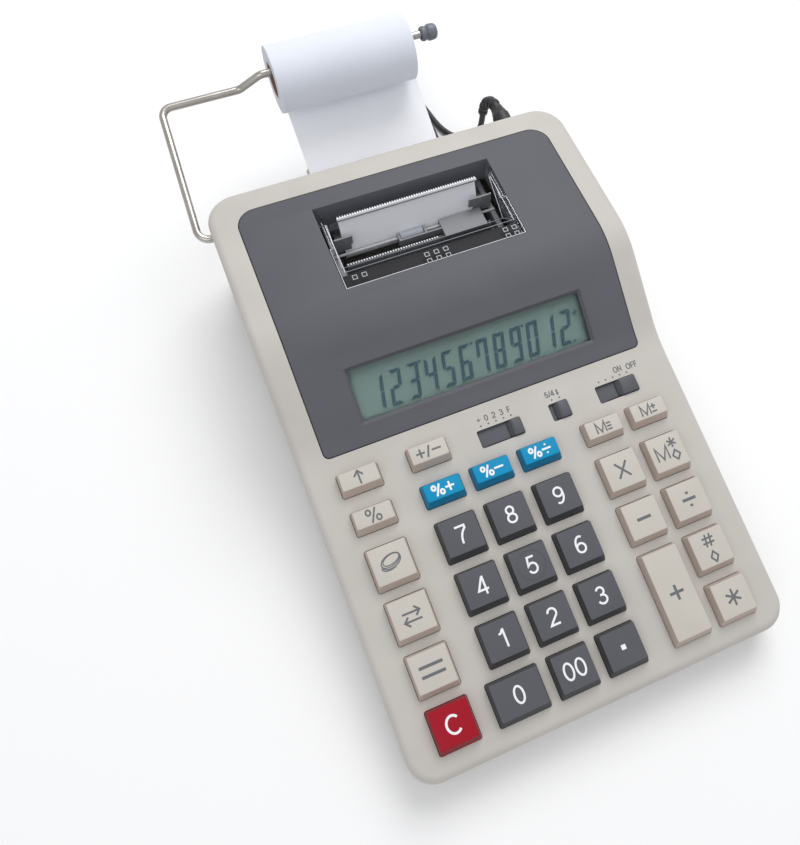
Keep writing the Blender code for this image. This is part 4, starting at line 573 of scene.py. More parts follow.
def paper_layers():
    """The ends of the roll, where each turn of paper shows as a fine ring."""
    surface = Surface("paper_layers", (0.6, 0.61, 0.66), 0.85)
    centre = at(0.0, ROLL_BACK, ROLL_HEIGHT)
    shift = surface.textured("Mapping", {"Location": (0.0, -centre.y, -centre.z)})
    rings = surface.add("TexWave", {"Scale": 1.0 / (LAYER_PITCH * WAVE_SCALE) * math.pi, "Distortion": 0.4})
    rings.wave_type = "RINGS"
    rings.rings_direction = "X"
    surface.link(shift, "Vector", rings, "Vector")
    surface.shades(rings, 0.07)
    surface.bump(rings, 0.4, RING_DEPTH)
    return surface.made


def card_tube():
    """Grey-brown card with flecks."""
    surface = Surface("card", (0.3, 0.2, 0.16), 0.85)
    flecks = surface.noise(1400.0, 5.0)
    surface.shades(flecks, 0.2)
    surface.bump(flecks, 0.3, FLECK_DEPTH)
    return surface.made


def display_back():
    """The grey-green reflector of the display, with a slow random drift of tone."""
    surface = Surface("display_back", (0.125, 0.187, 0.172), 0.45)
    surface.shades(surface.noise(28.0, 1.0), 0.05)
    surface.bump(surface.noise(3500.0), 0.1, FOIL_DEPTH)
    return surface.made


def circuit_board():
    """Green solder mask with paler tracks."""
    surface = Surface("circuit_board", (0.02, 0.13, 0.05), 0.35)
    tracks = surface.textured("TexBrick", {
        "Scale": 160.0, "Mortar Size": 0.03, "Color1": (0.018, 0.12, 0.045, 1.0),
        "Color2": (0.022, 0.14, 0.055, 1.0), "Mortar": (0.05, 0.24, 0.1, 1.0),
    })
    surface.link(tracks, "Color", surface.principled, "Base Color")
    return surface.made


# Places: X from the middle of the case, Y from its front wall and Z from the table
CASE_LOW, CASE_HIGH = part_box("upper_case")
ORIGIN = Matrix.Translation(((CASE_LOW[0] + CASE_HIGH[0]) / 2, CASE_LOW[1], 0.0))


def at(x, y, z):
    return ORIGIN @ Vector((x, y, z))


PROFILE = [
    Vector((0.0, FRONT_HEIGHT)), Vector((KINK_BACK, KINK_HEIGHT)), Vector((CREST_BACK, CREST_HEIGHT)),
    Vector((CASE_LENGTH, REAR_HEIGHT)),
]


def plane_frame(start, end):
    slope = math.atan2(end.y - start.y, end.x - start.x)
    return Matrix.Translation((0.0, start.x, start.y)) @ Matrix.Rotation(slope, 4, "X")


KEYPAD = plane_frame(PROFILE[0], PROFILE[1]) @ Matrix.Translation((0.0, FIRST_ROW, 0.0))
DISPLAY = plane_frame(PROFILE[1], PROFILE[2])
PRINTER = plane_frame(PROFILE[2], PROFILE[3])


# Mesh helpers
def linked(name, data):
    """A new object in the scene, with this data."""
    obj = bpy.data.objects.new(name, data)
    bpy.context.scene.collection.objects.link(obj)
    return obj


def plain_mesh(name, verts, faces):
    mesh = bpy.data.meshes.new(name)
    mesh.from_pydata([tuple(v) for v in verts], [], faces)
    return mesh


def new_object(name, verts, faces):
    """A mesh whose faces all look outwards."""
    mesh = plain_mesh(name, verts, faces)
    work = bmesh.new()
    work.from_mesh(mesh)
    bmesh.ops.recalc_face_normals(work, faces=work.faces)
    if work.calc_volume(signed=True) < 0:
        bmesh.ops.reverse_faces(work, faces=work.faces)
    work.to_mesh(mesh)
    work.free()
    return linked(name, mesh)


def apply_boolean(target, other, operation):
    modifier = target.modifiers.new("boolean", "BOOLEAN")
    modifier.operation = operation
    modifier.solver = "EXACT"
    modifier.object = other
    graph = bpy.context.evaluated_depsgraph_get()
    mesh = bpy.data.meshes.new_from_object(target.evaluated_get(graph))
    target.modifiers.clear()
    target.data = mesh
    bpy.data.objects.remove(other, do_unlink=True)


def cut(target, *others):
    for other in others:
        apply_boolean(target, other, "DIFFERENCE")


def join(target, *others):
    for other in others:
        apply_boolean(target, other, "UNION")


def group(name, pieces):
    """One mesh of several separate bodies."""
    verts, faces = [], []
    for piece in pieces:
        base = len(verts)
        verts += [v.co.copy() for v in piece.data.vertices]
        faces += [[base + i for i in p.vertices] for p in piece.data.polygons]
        bpy.data.objects.remove(piece, do_unlink=True)
    return linked(name, plain_mesh(name, verts, faces))


def moved(obj, matrix):
    obj.data.transform(matrix)
    return obj


def paint(data, finish):
    data.materials.clear()
    data.materials.append(MATERIALS[finish])


def coat(obj, finish, smooth=SMOOTH_ANGLE):
    """Puts a piece in the frame's axes, with its finish."""
    obj.data.transform(ORIGIN)
    paint(obj.data, finish)
    if smooth:
        obj.data.shade_smooth()
        obj.data.set_sharp_from_angle(angle=math.radians(smooth))


def dress(obj, body, finish, slot, *nodes, smooth=SMOOTH_ANGLE):
    """Finishes a piece and puts it on its body, in place of the nodes it stands for."""
    coat(obj, finish, smooth)
    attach(obj, body)
    if nodes:
        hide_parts(*nodes)
    return obj


def band_faces(count, levels, closed=False):
    """The faces between rings of as many points each, and from the last ring to the first if closed."""
    faces = []
    for level in range(levels if closed else levels - 1):
        a, b = level * count, (level + 1) % levels * count
        for i in range(count):
            j = (i + 1) % count
            faces.append((a + i, a + j, b + j, b + i))
    return faces


def loft(name, rings):
    count = len(rings[0])
    last = (len(rings) - 1) * count
    ends = [tuple(reversed(range(count))), tuple(range(last, last + count))]
    return new_object(name, [p for ring in rings for p in ring], band_faces(count, len(rings)) + ends)


def rectangle(a0, a1, b0, b1):
    return [(a0, b0), (a1, b0), (a1, b1), (a0, b1)]


def extrude_x(name, section, x0, x1):
    return loft(name, [[(x, a, b) for a, b in section] for x in sorted((x0, x1))])


def extrude_z(name, outline, z0, z1):
    return loft(name, [[(x, y, z) for x, y in outline] for z in (z0, z1)])


def block(name, x0, x1, y0, y1, z0, z1):
    return extrude_z(name, rectangle(x0, x1, y0, y1), z0, z1)


def rounded_ring(x0, x1, y0, y1, radius, z):
    points = []
    corners = [(x1, y1, 0.0, -1, -1), (x0, y1, 90.0, 1, -1), (x0, y0, 180.0, 1, 1), (x1, y0, 270.0, -1, 1)]
    for x, y, start, sx, sy in corners:
        for k in range(RING_CORNER_STEPS + 1):
            angle = math.radians(start + 90.0 * k / RING_CORNER_STEPS)
            points.append((x + radius * (sx + math.cos(angle)), y + radius * (sy + math.sin(angle)), z))
    return points


def rounded_block(name, x0, x1, y0, y1, radius, z0, z1):
    return loft(name, [rounded_ring(x0, x1, y0, y1, radius, z) for z in (z0, z1)])


def edge_steps(edge, steps=SOFT_STEPS):
    """The inset and the drop at each step round an edge, from its side up to its top."""
    angles = [math.radians(90.0 * k / steps) for k in range(steps + 1)]
    return [(edge * (1 - math.cos(a)), edge * (1 - math.sin(a))) for a in angles]


def soft_block(name, x0, x1, y0, y1, radius, z0, z1, edge):
    """A rounded block whose upper and lower edges are rounded too."""
    places = [(inset, z0 + rise) for rise, inset in edge_steps(edge)]
    places += [(inset, z1 - drop) for inset, drop in edge_steps(edge)]
    return loft(name, [rounded_ring(x0 + i, x1 - i, y0 + i, y1 - i, radius - i, z) for i, z in places])


def sweep(name, path, radii, sides):
    """A round rod along a path. Two path points in one place make a step."""
    path = [Vector(p) for p in path]
    tangents = []
    for i, point in enumerate(path):
        before = next((point - p for p in reversed(path[:i]) if (point - p).length > 0.0), None)
        after = next((p - point for p in path[i + 1 :] if (p - point).length > 0.0), None)
        parts = [p.normalized() for p in (before, after) if p is not None]
        tangents.append(sum(parts, Vector()).normalized())
    side = tangents[0].orthogonal().normalized()
    rings = []
    for tangent, point, radius in zip(tangents, path, radii):
        side = (side - tangent * side.dot(tangent)).normalized()
        up = tangent.cross(side)
        angles = [2 * math.pi * k / sides for k in range(sides)]
        rings.append([point + (side * math.cos(a) + up * math.sin(a)) * radius for a in angles])
    return loft(name, rings)


def rod(name, start, end, radius, sides=ROD_SIDES):
    return sweep(name, [start, end], [radius, radius], sides)


def rod_x(name, x0, x1, along, up, radius):
    return rod(name, (min(x0, x1), along, up), (max(x0, x1), along, up), radius)


def arc_points(corner, before, after, radius, steps):
    into = (corner - before).normalized()
    out = (after - corner).normalized()
    turn = into.angle(out)
    start = corner - into * radius * math.tan(turn / 2)
    inward = (out - into * out.dot(into)).normalized()
    centre = start + inward * radius
    angles = [turn * k / steps for k in range(steps + 1)]
    return [centre + (into * math.sin(a) - inward * math.cos(a)) * radius for a in angles]


def rounded_path(points, radius, steps):
    """The points as a path with its corners rounded."""
    points = [Vector(p) for p in points]
    path = [points[0]]
    for before, corner, after in zip(points, points[1:], points[2:]):
        path += arc_points(corner, before, after, radius, steps)
    return path + [points[-1]]


def in_metres(path):
    return [tuple(v * MM for v in point) for point in path]


def smooth_path(points, step, before=None):
    """A smooth curve through the points, sampled about every step. It can follow on from a point."""
    points = [np.array(p, float) for p in points]
    start = 2 * points[0] - points[1] if before is None else np.array(before, float)
    ends = [start] + points + [2 * points[-1] - points[-2]]
    path = []
    for a, b, c, d in zip(ends, ends[1:], ends[2:], ends[3:]):
        count = max(1, round(float(np.linalg.norm(c - b)) / step))
        for t in [k / count for k in range(count)]:
            line = 2 * b + (c - a) * t + (2 * a - 5 * b + 4 * c - d) * t * t
            path.append((line + (3 * b - a - 3 * c + d) * t ** 3) / 2)
    return path + [points[-1]]


# The side profile with its rounded kink and crest, and bodies that follow it
KINK_ARC = arc_points(PROFILE[1], PROFILE[0], PROFILE[2], KINK_RADIUS, ARC_STEPS)
CREST_ARC = arc_points(PROFILE[2], PROFILE[1], PROFILE[3], CREST_RADIUS, ARC_STEPS)
TOP_LINE = [PROFILE[0]] + KINK_ARC + CREST_ARC + [PROFILE[3]]


def top_height(y):
    return float(np.interp(y, [p.x for p in TOP_LINE], [p.y for p in TOP_LINE]))


def below_top(depth):
    return lambda y: top_height(y) - depth


def deck_solid(name, half, y0, y1, front_radius, rear_radius, levels, extra=()):
    """A body with a rounded plan. Each level is (inset, height), and a height may follow the side profile."""
    low, high = y0 + front_radius, y1 - rear_radius
    inside = [p.x for p in TOP_LINE] + list(extra)
    stations = sorted([low, high] + [y for y in inside if low < y < high])
    verts = []
    for inset, height in levels:
        right = []
        for k in range(CORNER_STEPS):
            angle = math.radians(90.0 * k / CORNER_STEPS - 90.0)
            reach = front_radius - inset
            right.append((half - front_radius + reach * math.cos(angle), low + reach * math.sin(angle)))
        right += [(half - inset, y) for y in stations]
        for k in range(1, CORNER_STEPS + 1):
            angle = math.radians(90.0 * k / CORNER_STEPS)
            reach = rear_radius - inset
            right.append((half - rear_radius + reach * math.cos(angle), high + reach * math.sin(angle)))
        ring = [(x, y, height(y) if callable(height) else height) for x, y in right]
        verts += ring + [(-x, y, z) for x, y, z in reversed(ring)]
    count = len(right)
    loop = 2 * count
    faces = band_faces(loop, len(levels))
    for base in (0, (len(levels) - 1) * loop):
        for i in range(count - 1):
            faces.append((base + i, base + i + 1, base + loop - 2 - i, base + loop - 1 - i))
    return new_object(name, verts, faces)


def case_solid(name, levels, extra=()):
    radii = (CASE_FRONT_RADIUS, CASE_REAR_RADIUS)
    return deck_solid(name, CASE_HALF_WIDTH, 0.0, CASE_LENGTH, *radii, levels, extra)


def fascia_solid(name, grow, levels):
    return deck_solid(
        name, FASCIA_HALF_WIDTH + grow, FASCIA_FRONT - grow, FASCIA_REAR + grow,
        FASCIA_FRONT_RADIUS + max(grow, 0.0), FASCIA_REAR_RADIUS + grow, levels,
    )


def hole_bounds(name, column, first_row, last_row):
    extra = ZERO_EXTRA_WIDTH if name == "key_0" else 0.0
    x0, x1 = COLUMNS[column] - HOLE_WIDTH / 2 - extra, COLUMNS[column] + HOLE_WIDTH / 2
    return x0, x1, ROWS[last_row][1], ROWS[first_row][0]


def knob_places():
    for name, right, length, knob in SWITCH_TABLE:
        end = right - KNOB_CLEARANCE
        yield name, end - knob, end, length - knob - 2 * KNOB_CLEARANCE


COLUMNS = [MIDDLE_COLUMN + k * KEY_PITCH + gaps * GROUP_GAP for k, gaps in COLUMN_STEPS]
ROWS = [(-k * SMALL_PITCH, -k * SMALL_PITCH - SMALL_HOLE) for k in range(2)]
ROWS += [(-BLOCK_START - k * KEY_PITCH, -BLOCK_START - k * KEY_PITCH - HOLE_DEPTH) for k in range(4)]


# Finishes: key, name, colour, roughness, size and depth of the grain, and the drift of the colour
MOULDED_FINISHES = [
    ("case", "case_plastic", (0.515, 0.49, 0.455), 0.5, 0.3 * MM, 0.2),
    ("fascia", "fascia_plastic", (0.107, 0.109, 0.123), 0.6, 0.25 * MM, 0.25),
    ("beige", "beige_key", (0.53, 0.5, 0.45), 0.4, 0.4 * MM, 0.08, 0.02),
    ("dark", "dark_key", (0.097, 0.099, 0.11), 0.42, 0.4 * MM, 0.1, 0.03),
    ("blue", "blue_key", (0.001, 0.255, 0.48), 0.38, 0.4 * MM, 0.08, 0.03),
    ("red", "red_key", (0.33, 0.004, 0.016), 0.38, 0.4 * MM, 0.08, 0.03),
    # Painted shade: darker copies of the four key colours, for the keys' sloping sides
    ("beige_side", "beige_key_side", (0.46, 0.385, 0.335), 0.45, 0.4 * MM, 0.08, 0.02),
    ("dark_side", "dark_key_side", (0.048, 0.049, 0.054), 0.42, 0.4 * MM, 0.1, 0.03),
    ("blue_side", "blue_key_side", (0.004, 0.17, 0.33), 0.38, 0.4 * MM, 0.08, 0.03),
    ("red_side", "red_key_side", (0.24, 0.004, 0.014), 0.38, 0.4 * MM, 0.08, 0.03),
    ("slot", "slot_plastic", (0.075, 0.08, 0.095), 0.5, 0.3 * MM, 0.2),
    ("knob", "knob_plastic", (0.066, 0.07, 0.08), 0.4, 0.3 * MM, 0.15),
    ("grey_ink", "grey_ink", (0.13, 0.137, 0.142), 0.5, 0.3 * MM, 0.05),
    ("white_ink", "white_ink", (0.82, 0.83, 0.85), 0.5, 0.3 * MM, 0.05, 0.01),
    ("segment", "display_segment", (0.028, 0.07, 0.09), 0.4, 0.3 * MM, 0.02, 0.02),
    ("segment_shadow", "display_segment_shadow", (0.085, 0.14, 0.14), 0.5, 0.3 * MM, 0.02, 0.02),
    ("frame", "frame_plastic", (0.2, 0.205, 0.22), 0.5, 0.3 * MM, 0.2),
    ("rack", "rack_plastic", (0.8, 0.81, 0.83), 0.45, 0.3 * MM, 0.1, 0.02),
    ("carriage", "carriage_plastic", (0.2, 0.207, 0.22), 0.5, 0.3 * MM, 0.15),
    ("roller", "roller_plastic", (0.34, 0.36, 0.4), 0.6, 0.3 * MM, 0.1, 0.02),
    ("rubber", "rubber", (0.035, 0.035, 0.038), 0.65, 0.2 * MM, 0.3, 0.08),
    ("cap", "cap_rubber", (0.14, 0.155, 0.18), 0.38, 0.25 * MM, 0.25, 0.06),
    ("platen", "platen_rubber", (0.02, 0.02, 0.022), 0.6, 0.2 * MM, 0.3, 0.06),
    ("black", "black_plastic", (0.018, 0.018, 0.02), 0.48, 0.3 * MM, 0.08, 0.05),
    ("sheath", "cord_sheath", (0.018, 0.018, 0.02), 0.5, 0.25 * MM, 0.08, 0.05),
    ("mat", "mat_rubber", (0.3, 0.31, 0.33), 0.6, 0.3 * MM, 0.2, 0.03),
    ("shaft", "shaft_steel", (0.5, 0.51, 0.53), 0.35, 0.2 * MM, 0.1, 0.02),
    # Painted highlight: near-white for the clear sheet's edges and its tear teeth
    ("frosted", "frosted_edge", (0.78, 0.79, 0.82), 0.3, 0.2 * MM, 0.1, 0.02),
    # Painted highlight: grey for the raised squares on the clear lip
    ("rim", "moulded_rim", (0.33, 0.34, 0.36), 0.3, 0.2 * MM, 0.1, 0.02),
    # Painted highlight, dimmer: grey for the clear sheet's folds and the band along the tear teeth
    ("haze", "hazy_edge", (0.3, 0.31, 0.33), 0.35, 0.2 * MM, 0.1, 0.03),
    # Painted light: a paler copy of the fascia plastic for the walls inside the printer opening
    ("well", "well_plastic", (0.16, 0.162, 0.184), 0.6, 0.3 * MM, 0.1, 0.04),
    # Painted shade: near-black, for the display window's inner walls and the shelf under the cover's lip
    ("shade", "shaded_plastic", (0.018, 0.018, 0.021), 0.6, 0.3 * MM, 0.1, 0.05),
]
MATERIALS = {key: moulded(*values) for key, *values in MOULDED_FINISHES}
MATERIALS.update({
    "display": display_back(),
    "clear": clear_plastic("clear_cover", (0.985, 0.99, 0.995), 0.03, 1.1),
    "glass": clear_plastic("display_window", (0.97, 0.98, 0.98), 0.02, 1.15),
    "wire": plated_wire(),
    "paper": paper_surface("paper", (0.72, 0.75, 0.825)),
    # Painted light: a paler copy of the roll's paper, used for the web to lift it out of the roll's shade
    "paper_painted_light": paper_surface("paper_painted_light", (0.92, 0.935, 0.985)),
    "layers": paper_layers(),
    "card": card_tube(),
    "board": circuit_board(),
})
DULL_FINISHES = (
    "fascia", "case", "shade", "well", "paper", "paper_painted_light", "blue", "red", "dark", "blue_side", "red_side",
    "dark_side",
)
for dull in DULL_FINISHES:
    put(MATERIALS[dull].node_tree.nodes["Principled BSDF"], {"Specular IOR Level": DULL_SPECULAR})


# Signs drawn as strokes, in shares of their height
def arc(cx, cy, rx, ry, start, end, steps=22):
    angles = [math.radians(start + (end - start) * k / steps) for k in range(steps + 1)]
    return [(cx + rx * math.cos(a), cy + ry * math.sin(a)) for a in angles]


def ring(cx, cy, rx, ry):
    return arc(cx, cy, rx, ry, 0.0, 360.0, 40)[:-1], True


def line(*points):
    return list(points), False


def plus_sign(cx, cy, reach):
    return [line((cx - reach, cy), (cx + reach, cy)), line((cx, cy - reach), (cx, cy + reach))]


def diamond(cx, cy, reach, height):
    return [([(cx - reach, cy), (cx, cy + height), (cx + reach, cy), (cx, cy - height)], True)]


def star(cx, cy, reach):
    strokes = []
    for turn in (30.0, 90.0, 150.0):
        a = math.radians(turn)
        dx, dy = reach * math.cos(a), reach * math.sin(a)
        strokes.append(line((cx - dx, cy - dy), (cx + dx, cy + dy)))
    return strokes


def coin():
    top = arc(0.56, 0.6, 0.52, 0.28, 0.0, 360.0, 44)[:-1]
    inner = arc(0.6, 0.62, 0.45, 0.22, 0.0, 360.0, 44)[:-1]
    rim = [(0.04, 0.58)] + arc(0.55, 0.51, 0.51, 0.28, 180.0, 350.0, 30) + [(1.08, 0.58)]
    lower = arc(0.47, 0.46, 0.5, 0.26, 165.0, 290.0, 26)
    tilt = math.radians(16.0)
    turn = [math.cos(tilt), math.sin(tilt)]

    def tilted(points):
        spots = [(x - 0.5, y - 0.5) for x, y in points]
        return [(x * turn[0] - y * turn[1] + 0.5, x * turn[1] + y * turn[0] + 0.5) for x, y in spots]

    return [(tilted(top), True), (tilted(inner), True), (tilted(rim), False), (tilted(lower), False)]


def arrows():
    upper = [line((0.0, 0.66), (1.0, 0.66)), line((0.74, 0.92), (1.0, 0.66), (0.74, 0.4))]
    lower = [line((0.0, 0.2), (1.0, 0.2)), line((0.26, 0.46), (0.0, 0.2), (0.26, -0.06))]
    return upper + lower


def hash_sign(cx, cy, reach):
    strokes = []
    for k in (-0.38, 0.38):
        strokes.append(line((cx + reach * (k - 0.15), cy - reach), (cx + reach * (k + 0.15), cy + reach)))
        strokes.append(line((cx - reach, cy + reach * k), (cx + reach, cy + reach * k)))
    return strokes


GLYPH_SHARES = {
    "0": (0.56, [ring(0.28, 0.5, 0.25, 0.44)]),
    "1": (0.36, [line((0.3, 0.0), (0.3, 1.0)), line((0.02, 0.74), (0.16, 0.79), (0.27, 0.95))]),
    "2": (0.58, [line(*arc(0.29, 0.69, 0.24, 0.25, 172.0, -38.0), (0.14, 0.2), (0.03, 0.06), (0.56, 0.06))]),
    "3": (0.56, [
        line(*arc(0.27, 0.73, 0.21, 0.21, 160.0, -90.0), (0.2, 0.52)),
        line(*arc(0.27, 0.29, 0.25, 0.235, 90.0, -165.0)),
    ]),
    "4": (0.6, [line((0.43, 0.0), (0.43, 1.0)), line((0.4, 0.95), (0.02, 0.27), (0.6, 0.27))]),
    "5": (0.58, [line((0.52, 0.94), (0.15, 0.94), (0.08, 0.5), *arc(0.29, 0.33, 0.25, 0.27, 128.0, -158.0))]),
    "6": (0.58, [ring(0.3, 0.31, 0.245, 0.25), line(*arc(0.35, 0.46, 0.3, 0.48, 196.0, 62.0))]),
    "7": (0.56, [line((0.0, 0.94), (0.55, 0.94), *arc(0.85, 0.05, 0.64, 0.83, 118.0, 184.0))]),
    "8": (0.56, [ring(0.28, 0.735, 0.205, 0.205), ring(0.28, 0.29, 0.25, 0.235)]),
    "9": (0.58, [ring(0.28, 0.69, 0.245, 0.25), line(*arc(0.23, 0.54, 0.3, 0.48, 16.0, -118.0))]),
    ".": (0.28, [line((0.14, 0.36), (0.14, 0.63))]),
    "p": (0.8, plus_sign(0.4, 0.5, 0.4)),
    "m": (0.84, [line((0.0, 0.5), (0.84, 0.5))]),
    "X": (0.86, [line((0.02, 0.0), (0.84, 1.0)), line((0.02, 1.0), (0.84, 0.0))]),
    "d": (0.84, [
        line((0.0, 0.5), (0.84, 0.5)), line((0.42, 0.06), (0.42, 0.2)), line((0.42, 0.8), (0.42, 0.94)),
    ]),
    "=": (1.3, [line((0.0, 0.26), (1.3, 0.26)), line((0.0, 0.74), (1.3, 0.74))]),
    "%": (1.0, [
        ring(0.18, 0.75, 0.16, 0.19), ring(0.82, 0.25, 0.16, 0.19), line((0.27, 0.0), (0.73, 1.0)),
    ]),
    "/": (0.36, [line((0.0, 0.0), (0.36, 1.0))]),
    "M": (0.84, [line((0.0, 0.0), (0.0, 0.94), (0.42, 0.06), (0.84, 0.94), (0.84, 0.0))]),
    "e": (0.42, [line((0.0, y), (0.42, y)) for y in (0.1, 0.38, 0.66)]),
    "b": (0.46, plus_sign(0.23, 0.62, 0.23) + [line((0.0, 0.14), (0.46, 0.14))]),
    ";": (0.7, star(0.36, 1.0, 0.35) + diamond(0.38, 0.1, 0.28, 0.34)),
    ":": (0.7, hash_sign(0.35, 1.0, 0.42) + diamond(0.35, -0.12, 0.26, 0.36)),
    "*": (0.9, star(0.45, 0.5, 0.48)),
    "C": (0.8, [line(*arc(0.42, 0.5, 0.38, 0.45, 42.0, 318.0))]),
    "O": (0.74, [ring(0.37, 0.5, 0.33, 0.45)]),
    "N": (0.6, [line((0.04, 0.0), (0.04, 0.94), (0.56, 0.06), (0.56, 1.0))]),
    "F": (0.5, [line((0.05, 0.0), (0.05, 0.94), (0.5, 0.94)), line((0.05, 0.5), (0.44, 0.5))]),
    "^": (0.8, [line((0.4, 0.0), (0.4, 0.95)), line((0.08, 0.6), (0.4, 0.96), (0.72, 0.6))]),
    "~": (1.0, arrows()),
    "$": (1.1, coin()),
    "v": (0.3, [line((0.15, 0.1), (0.15, 0.9)), line((0.02, 0.3), (0.15, 0.08), (0.28, 0.3))]),
}


def stroke_mesh(points, closed, width, low, high):
    """A raised line of even width: its top and its side walls, as vertices and faces."""
    points = [Vector(p) for p in points]
    count = len(points)
    sides = []
    for i, point in enumerate(points):
        before = points[i - 1] if closed or i else None
        after = points[(i + 1) % count] if closed or i < count - 1 else None
        runs = [d.normalized() for d in (before and point - before, after and after - point) if d]
        middle = sum(runs, Vector((0.0, 0.0))).normalized()
        across = Vector((-middle.y, middle.x))
        lean = max(abs(across.dot(Vector((-runs[0].y, runs[0].x)))), MITRE_LIMIT)
        sides.append((point + across * width / 2 / lean, point - across * width / 2 / lean))
    verts = []
    for left, right in sides:
        verts += [(*left, high), (*right, high), (*right, low), (*left, low)]
    faces = band_faces(4, count, closed)
    if not closed:
        last = 4 * (count - 1)
        faces += [(3, 2, 1, 0), (last, last + 1, last + 2, last + 3)]
    return verts, faces


def text_mesh(name, text, height, stroke_share, squeeze=1.0):
    """A line of signs, centred on its own middle, as one mesh."""
    widths = [GLYPH_SHARES[sign][0] for sign in text]
    total = (sum(widths) + LETTER_GAP_SHARE * (len(text) - 1)) * squeeze
    x = -total / 2
    verts, faces = [], []
    lift = 0.0
    for sign, width in zip(text, widths):
        for points, closed in GLYPH_SHARES[sign][1]:
            placed = [((x + px * squeeze) * height, (py - 0.5) * height) for px, py in points]
            more, ends = stroke_mesh(placed, closed, stroke_share * height, -LEGEND_SINK, LEGEND_RISE + lift)
            base = len(verts)
            verts += more
            faces += [[base + i for i in face] for face in ends]
            lift += LEGEND_SINK / 10
        x += (width + LETTER_GAP_SHARE) * squeeze
    return new_object(name, verts, faces)


# Case
SLOT_FAR = -SLOT_START
SLOT_NEAR = -SLOT_START - SLOT_WIDTH


def stem_slit(left, right, travel):
    """The slit in the deck that a switch's stem runs in."""
    stem, middle = (left + right) / 2, SLOT_NEAR + KNOB_STEM_FRONT
    reach, depth = KNOB_STEM_HALF + KNOB_CLEARANCE, SLIT_HALF_DEPTH
    return block("slit", stem - travel - reach, stem + reach, middle - depth, middle + depth, -OVERRUN, 0.0)


def build_upper_case():
    edge = [(inset, below_top(drop)) for inset, drop in edge_steps(CASE_EDGE_RADIUS, EDGE_STEPS)]
    bottom = PARTING_HEIGHT + SEAT_GAP
    case = case_solid("upper_shell", [(SEAT_GAP, bottom), (0.0, bottom + SEAT_GAP)] + edge)
    ledge = FASCIA_THICKNESS + SEAT_GAP + LEDGE_THICKNESS
    step_end = FASCIA_FRONT - FASCIA_GAP - LEDGE_WIDTH
    step_start = step_end - ledge + DECK_THICKNESS

    def inner_height(y):
        share = min(max((y - step_start) / (step_end - step_start), 0.0), 1.0)
        return top_height(y) - DECK_THICKNESS - (ledge - DECK_THICKNESS) * share

    hollow_levels = [(CASE_WALL, PARTING_HEIGHT - OVERRUN), (CASE_WALL, inner_height)]
    cut(case, case_solid("hollow", hollow_levels, (step_start, step_end)))
    seat = FASCIA_THICKNESS + SEAT_GAP
    recess = fascia_solid("recess", FASCIA_GAP, [(0.0, below_top(seat)), (0.0, below_top(-OVERRUN))])
    levels = [(0.0, below_top(ledge + OVERRUN)), (0.0, below_top(0.0))]
    opening = fascia_solid("opening", -LEDGE_WIDTH, levels)
    cut(case, recess, opening)
    holes = []
    for name, column, first_row, last_row, *_ in KEY_TABLE:
        bounds = hole_bounds(name, column, first_row, last_row)
        holes.append(rounded_block("hole", *bounds, HOLE_RADIUS, -OVERRUN, OVERRUN))
    for _, right, length, _ in SWITCH_TABLE:
        plan = (right - length, right, SLOT_NEAR, SLOT_FAR, SLOT_RADIUS)
        holes.append(rounded_block("slot", *plan, -SLOT_DEPTH, OVERRUN))
    cut(case, moved(group("holes", holes), KEYPAD))
    slits = [stem_slit(left, right, travel) for _, left, right, travel in knob_places()]
    cut(case, moved(group("slits", slits), KEYPAD))
    slot_height = web_height(CASE_LENGTH - CASE_WALL / 2)
    inner, outer = CASE_LENGTH - OVERRUN, CASE_LENGTH + OVERRUN
    left, right = WEB_LEFT - WALL_SLOT_MARGIN, WEB_LEFT + WEB_WIDTH + WALL_SLOT_MARGIN
    low, high = slot_height - WALL_SLOT_BELOW, slot_height + WALL_SLOT_ABOVE
    wall_slot = block("wall_slot", left, right, inner, outer, low, high)
    ends = [(JACK_X, y, JACK_HEIGHT) for y in (inner, outer)]
    cut(case, wall_slot, rod("plug_hole", *ends, PLUG_NOSE_RADIUS + PLUG_CLEARANCE))
    pivot = (PIVOT_BACK, PIVOT_HEIGHT)
    boss_end = -CASE_HALF_WIDTH + CASE_WALL + BOSS_LENGTH
    join(case, rod_x("boss", -CASE_HALF_WIDTH + CASE_WALL / 2, boss_end, *pivot, BOSS_RADIUS))
    cut(case, rod_x("bore", -CASE_HALF_WIDTH - OVERRUN, boss_end + OVERRUN, *pivot, ARM_RADIUS + SEAT_GAP))
    dress(case, "root", "case", "case", "upper_case", smooth=30.0)


def build_slot_liners():
    """The dark floor and walls of each switch's slot."""
    wall = SLOT_LINER_WALL
    for (name, left, right, travel), (_, end, length, _) in zip(knob_places(), SWITCH_TABLE):
        start = end - length
        plan = (start, end, SLOT_NEAR, SLOT_FAR, SLOT_RADIUS)
        liner = rounded_block(name + "_slot", *plan, -SLOT_DEPTH, -wall)
        plan = (start + wall, end - wall, SLOT_NEAR + wall, SLOT_FAR - wall, SLOT_RADIUS - wall)
        inside = rounded_block("inside", *plan, -SLOT_DEPTH + wall, OVERRUN)
        cut(liner, inside, stem_slit(left, right, travel))
        dress(moved(liner, KEYPAD), "root", "slot", "fascia")


# Keys and their legends
KEY_UP = KEYPAD.to_3x3() @ Vector((0.0, 0.0, 1.0))


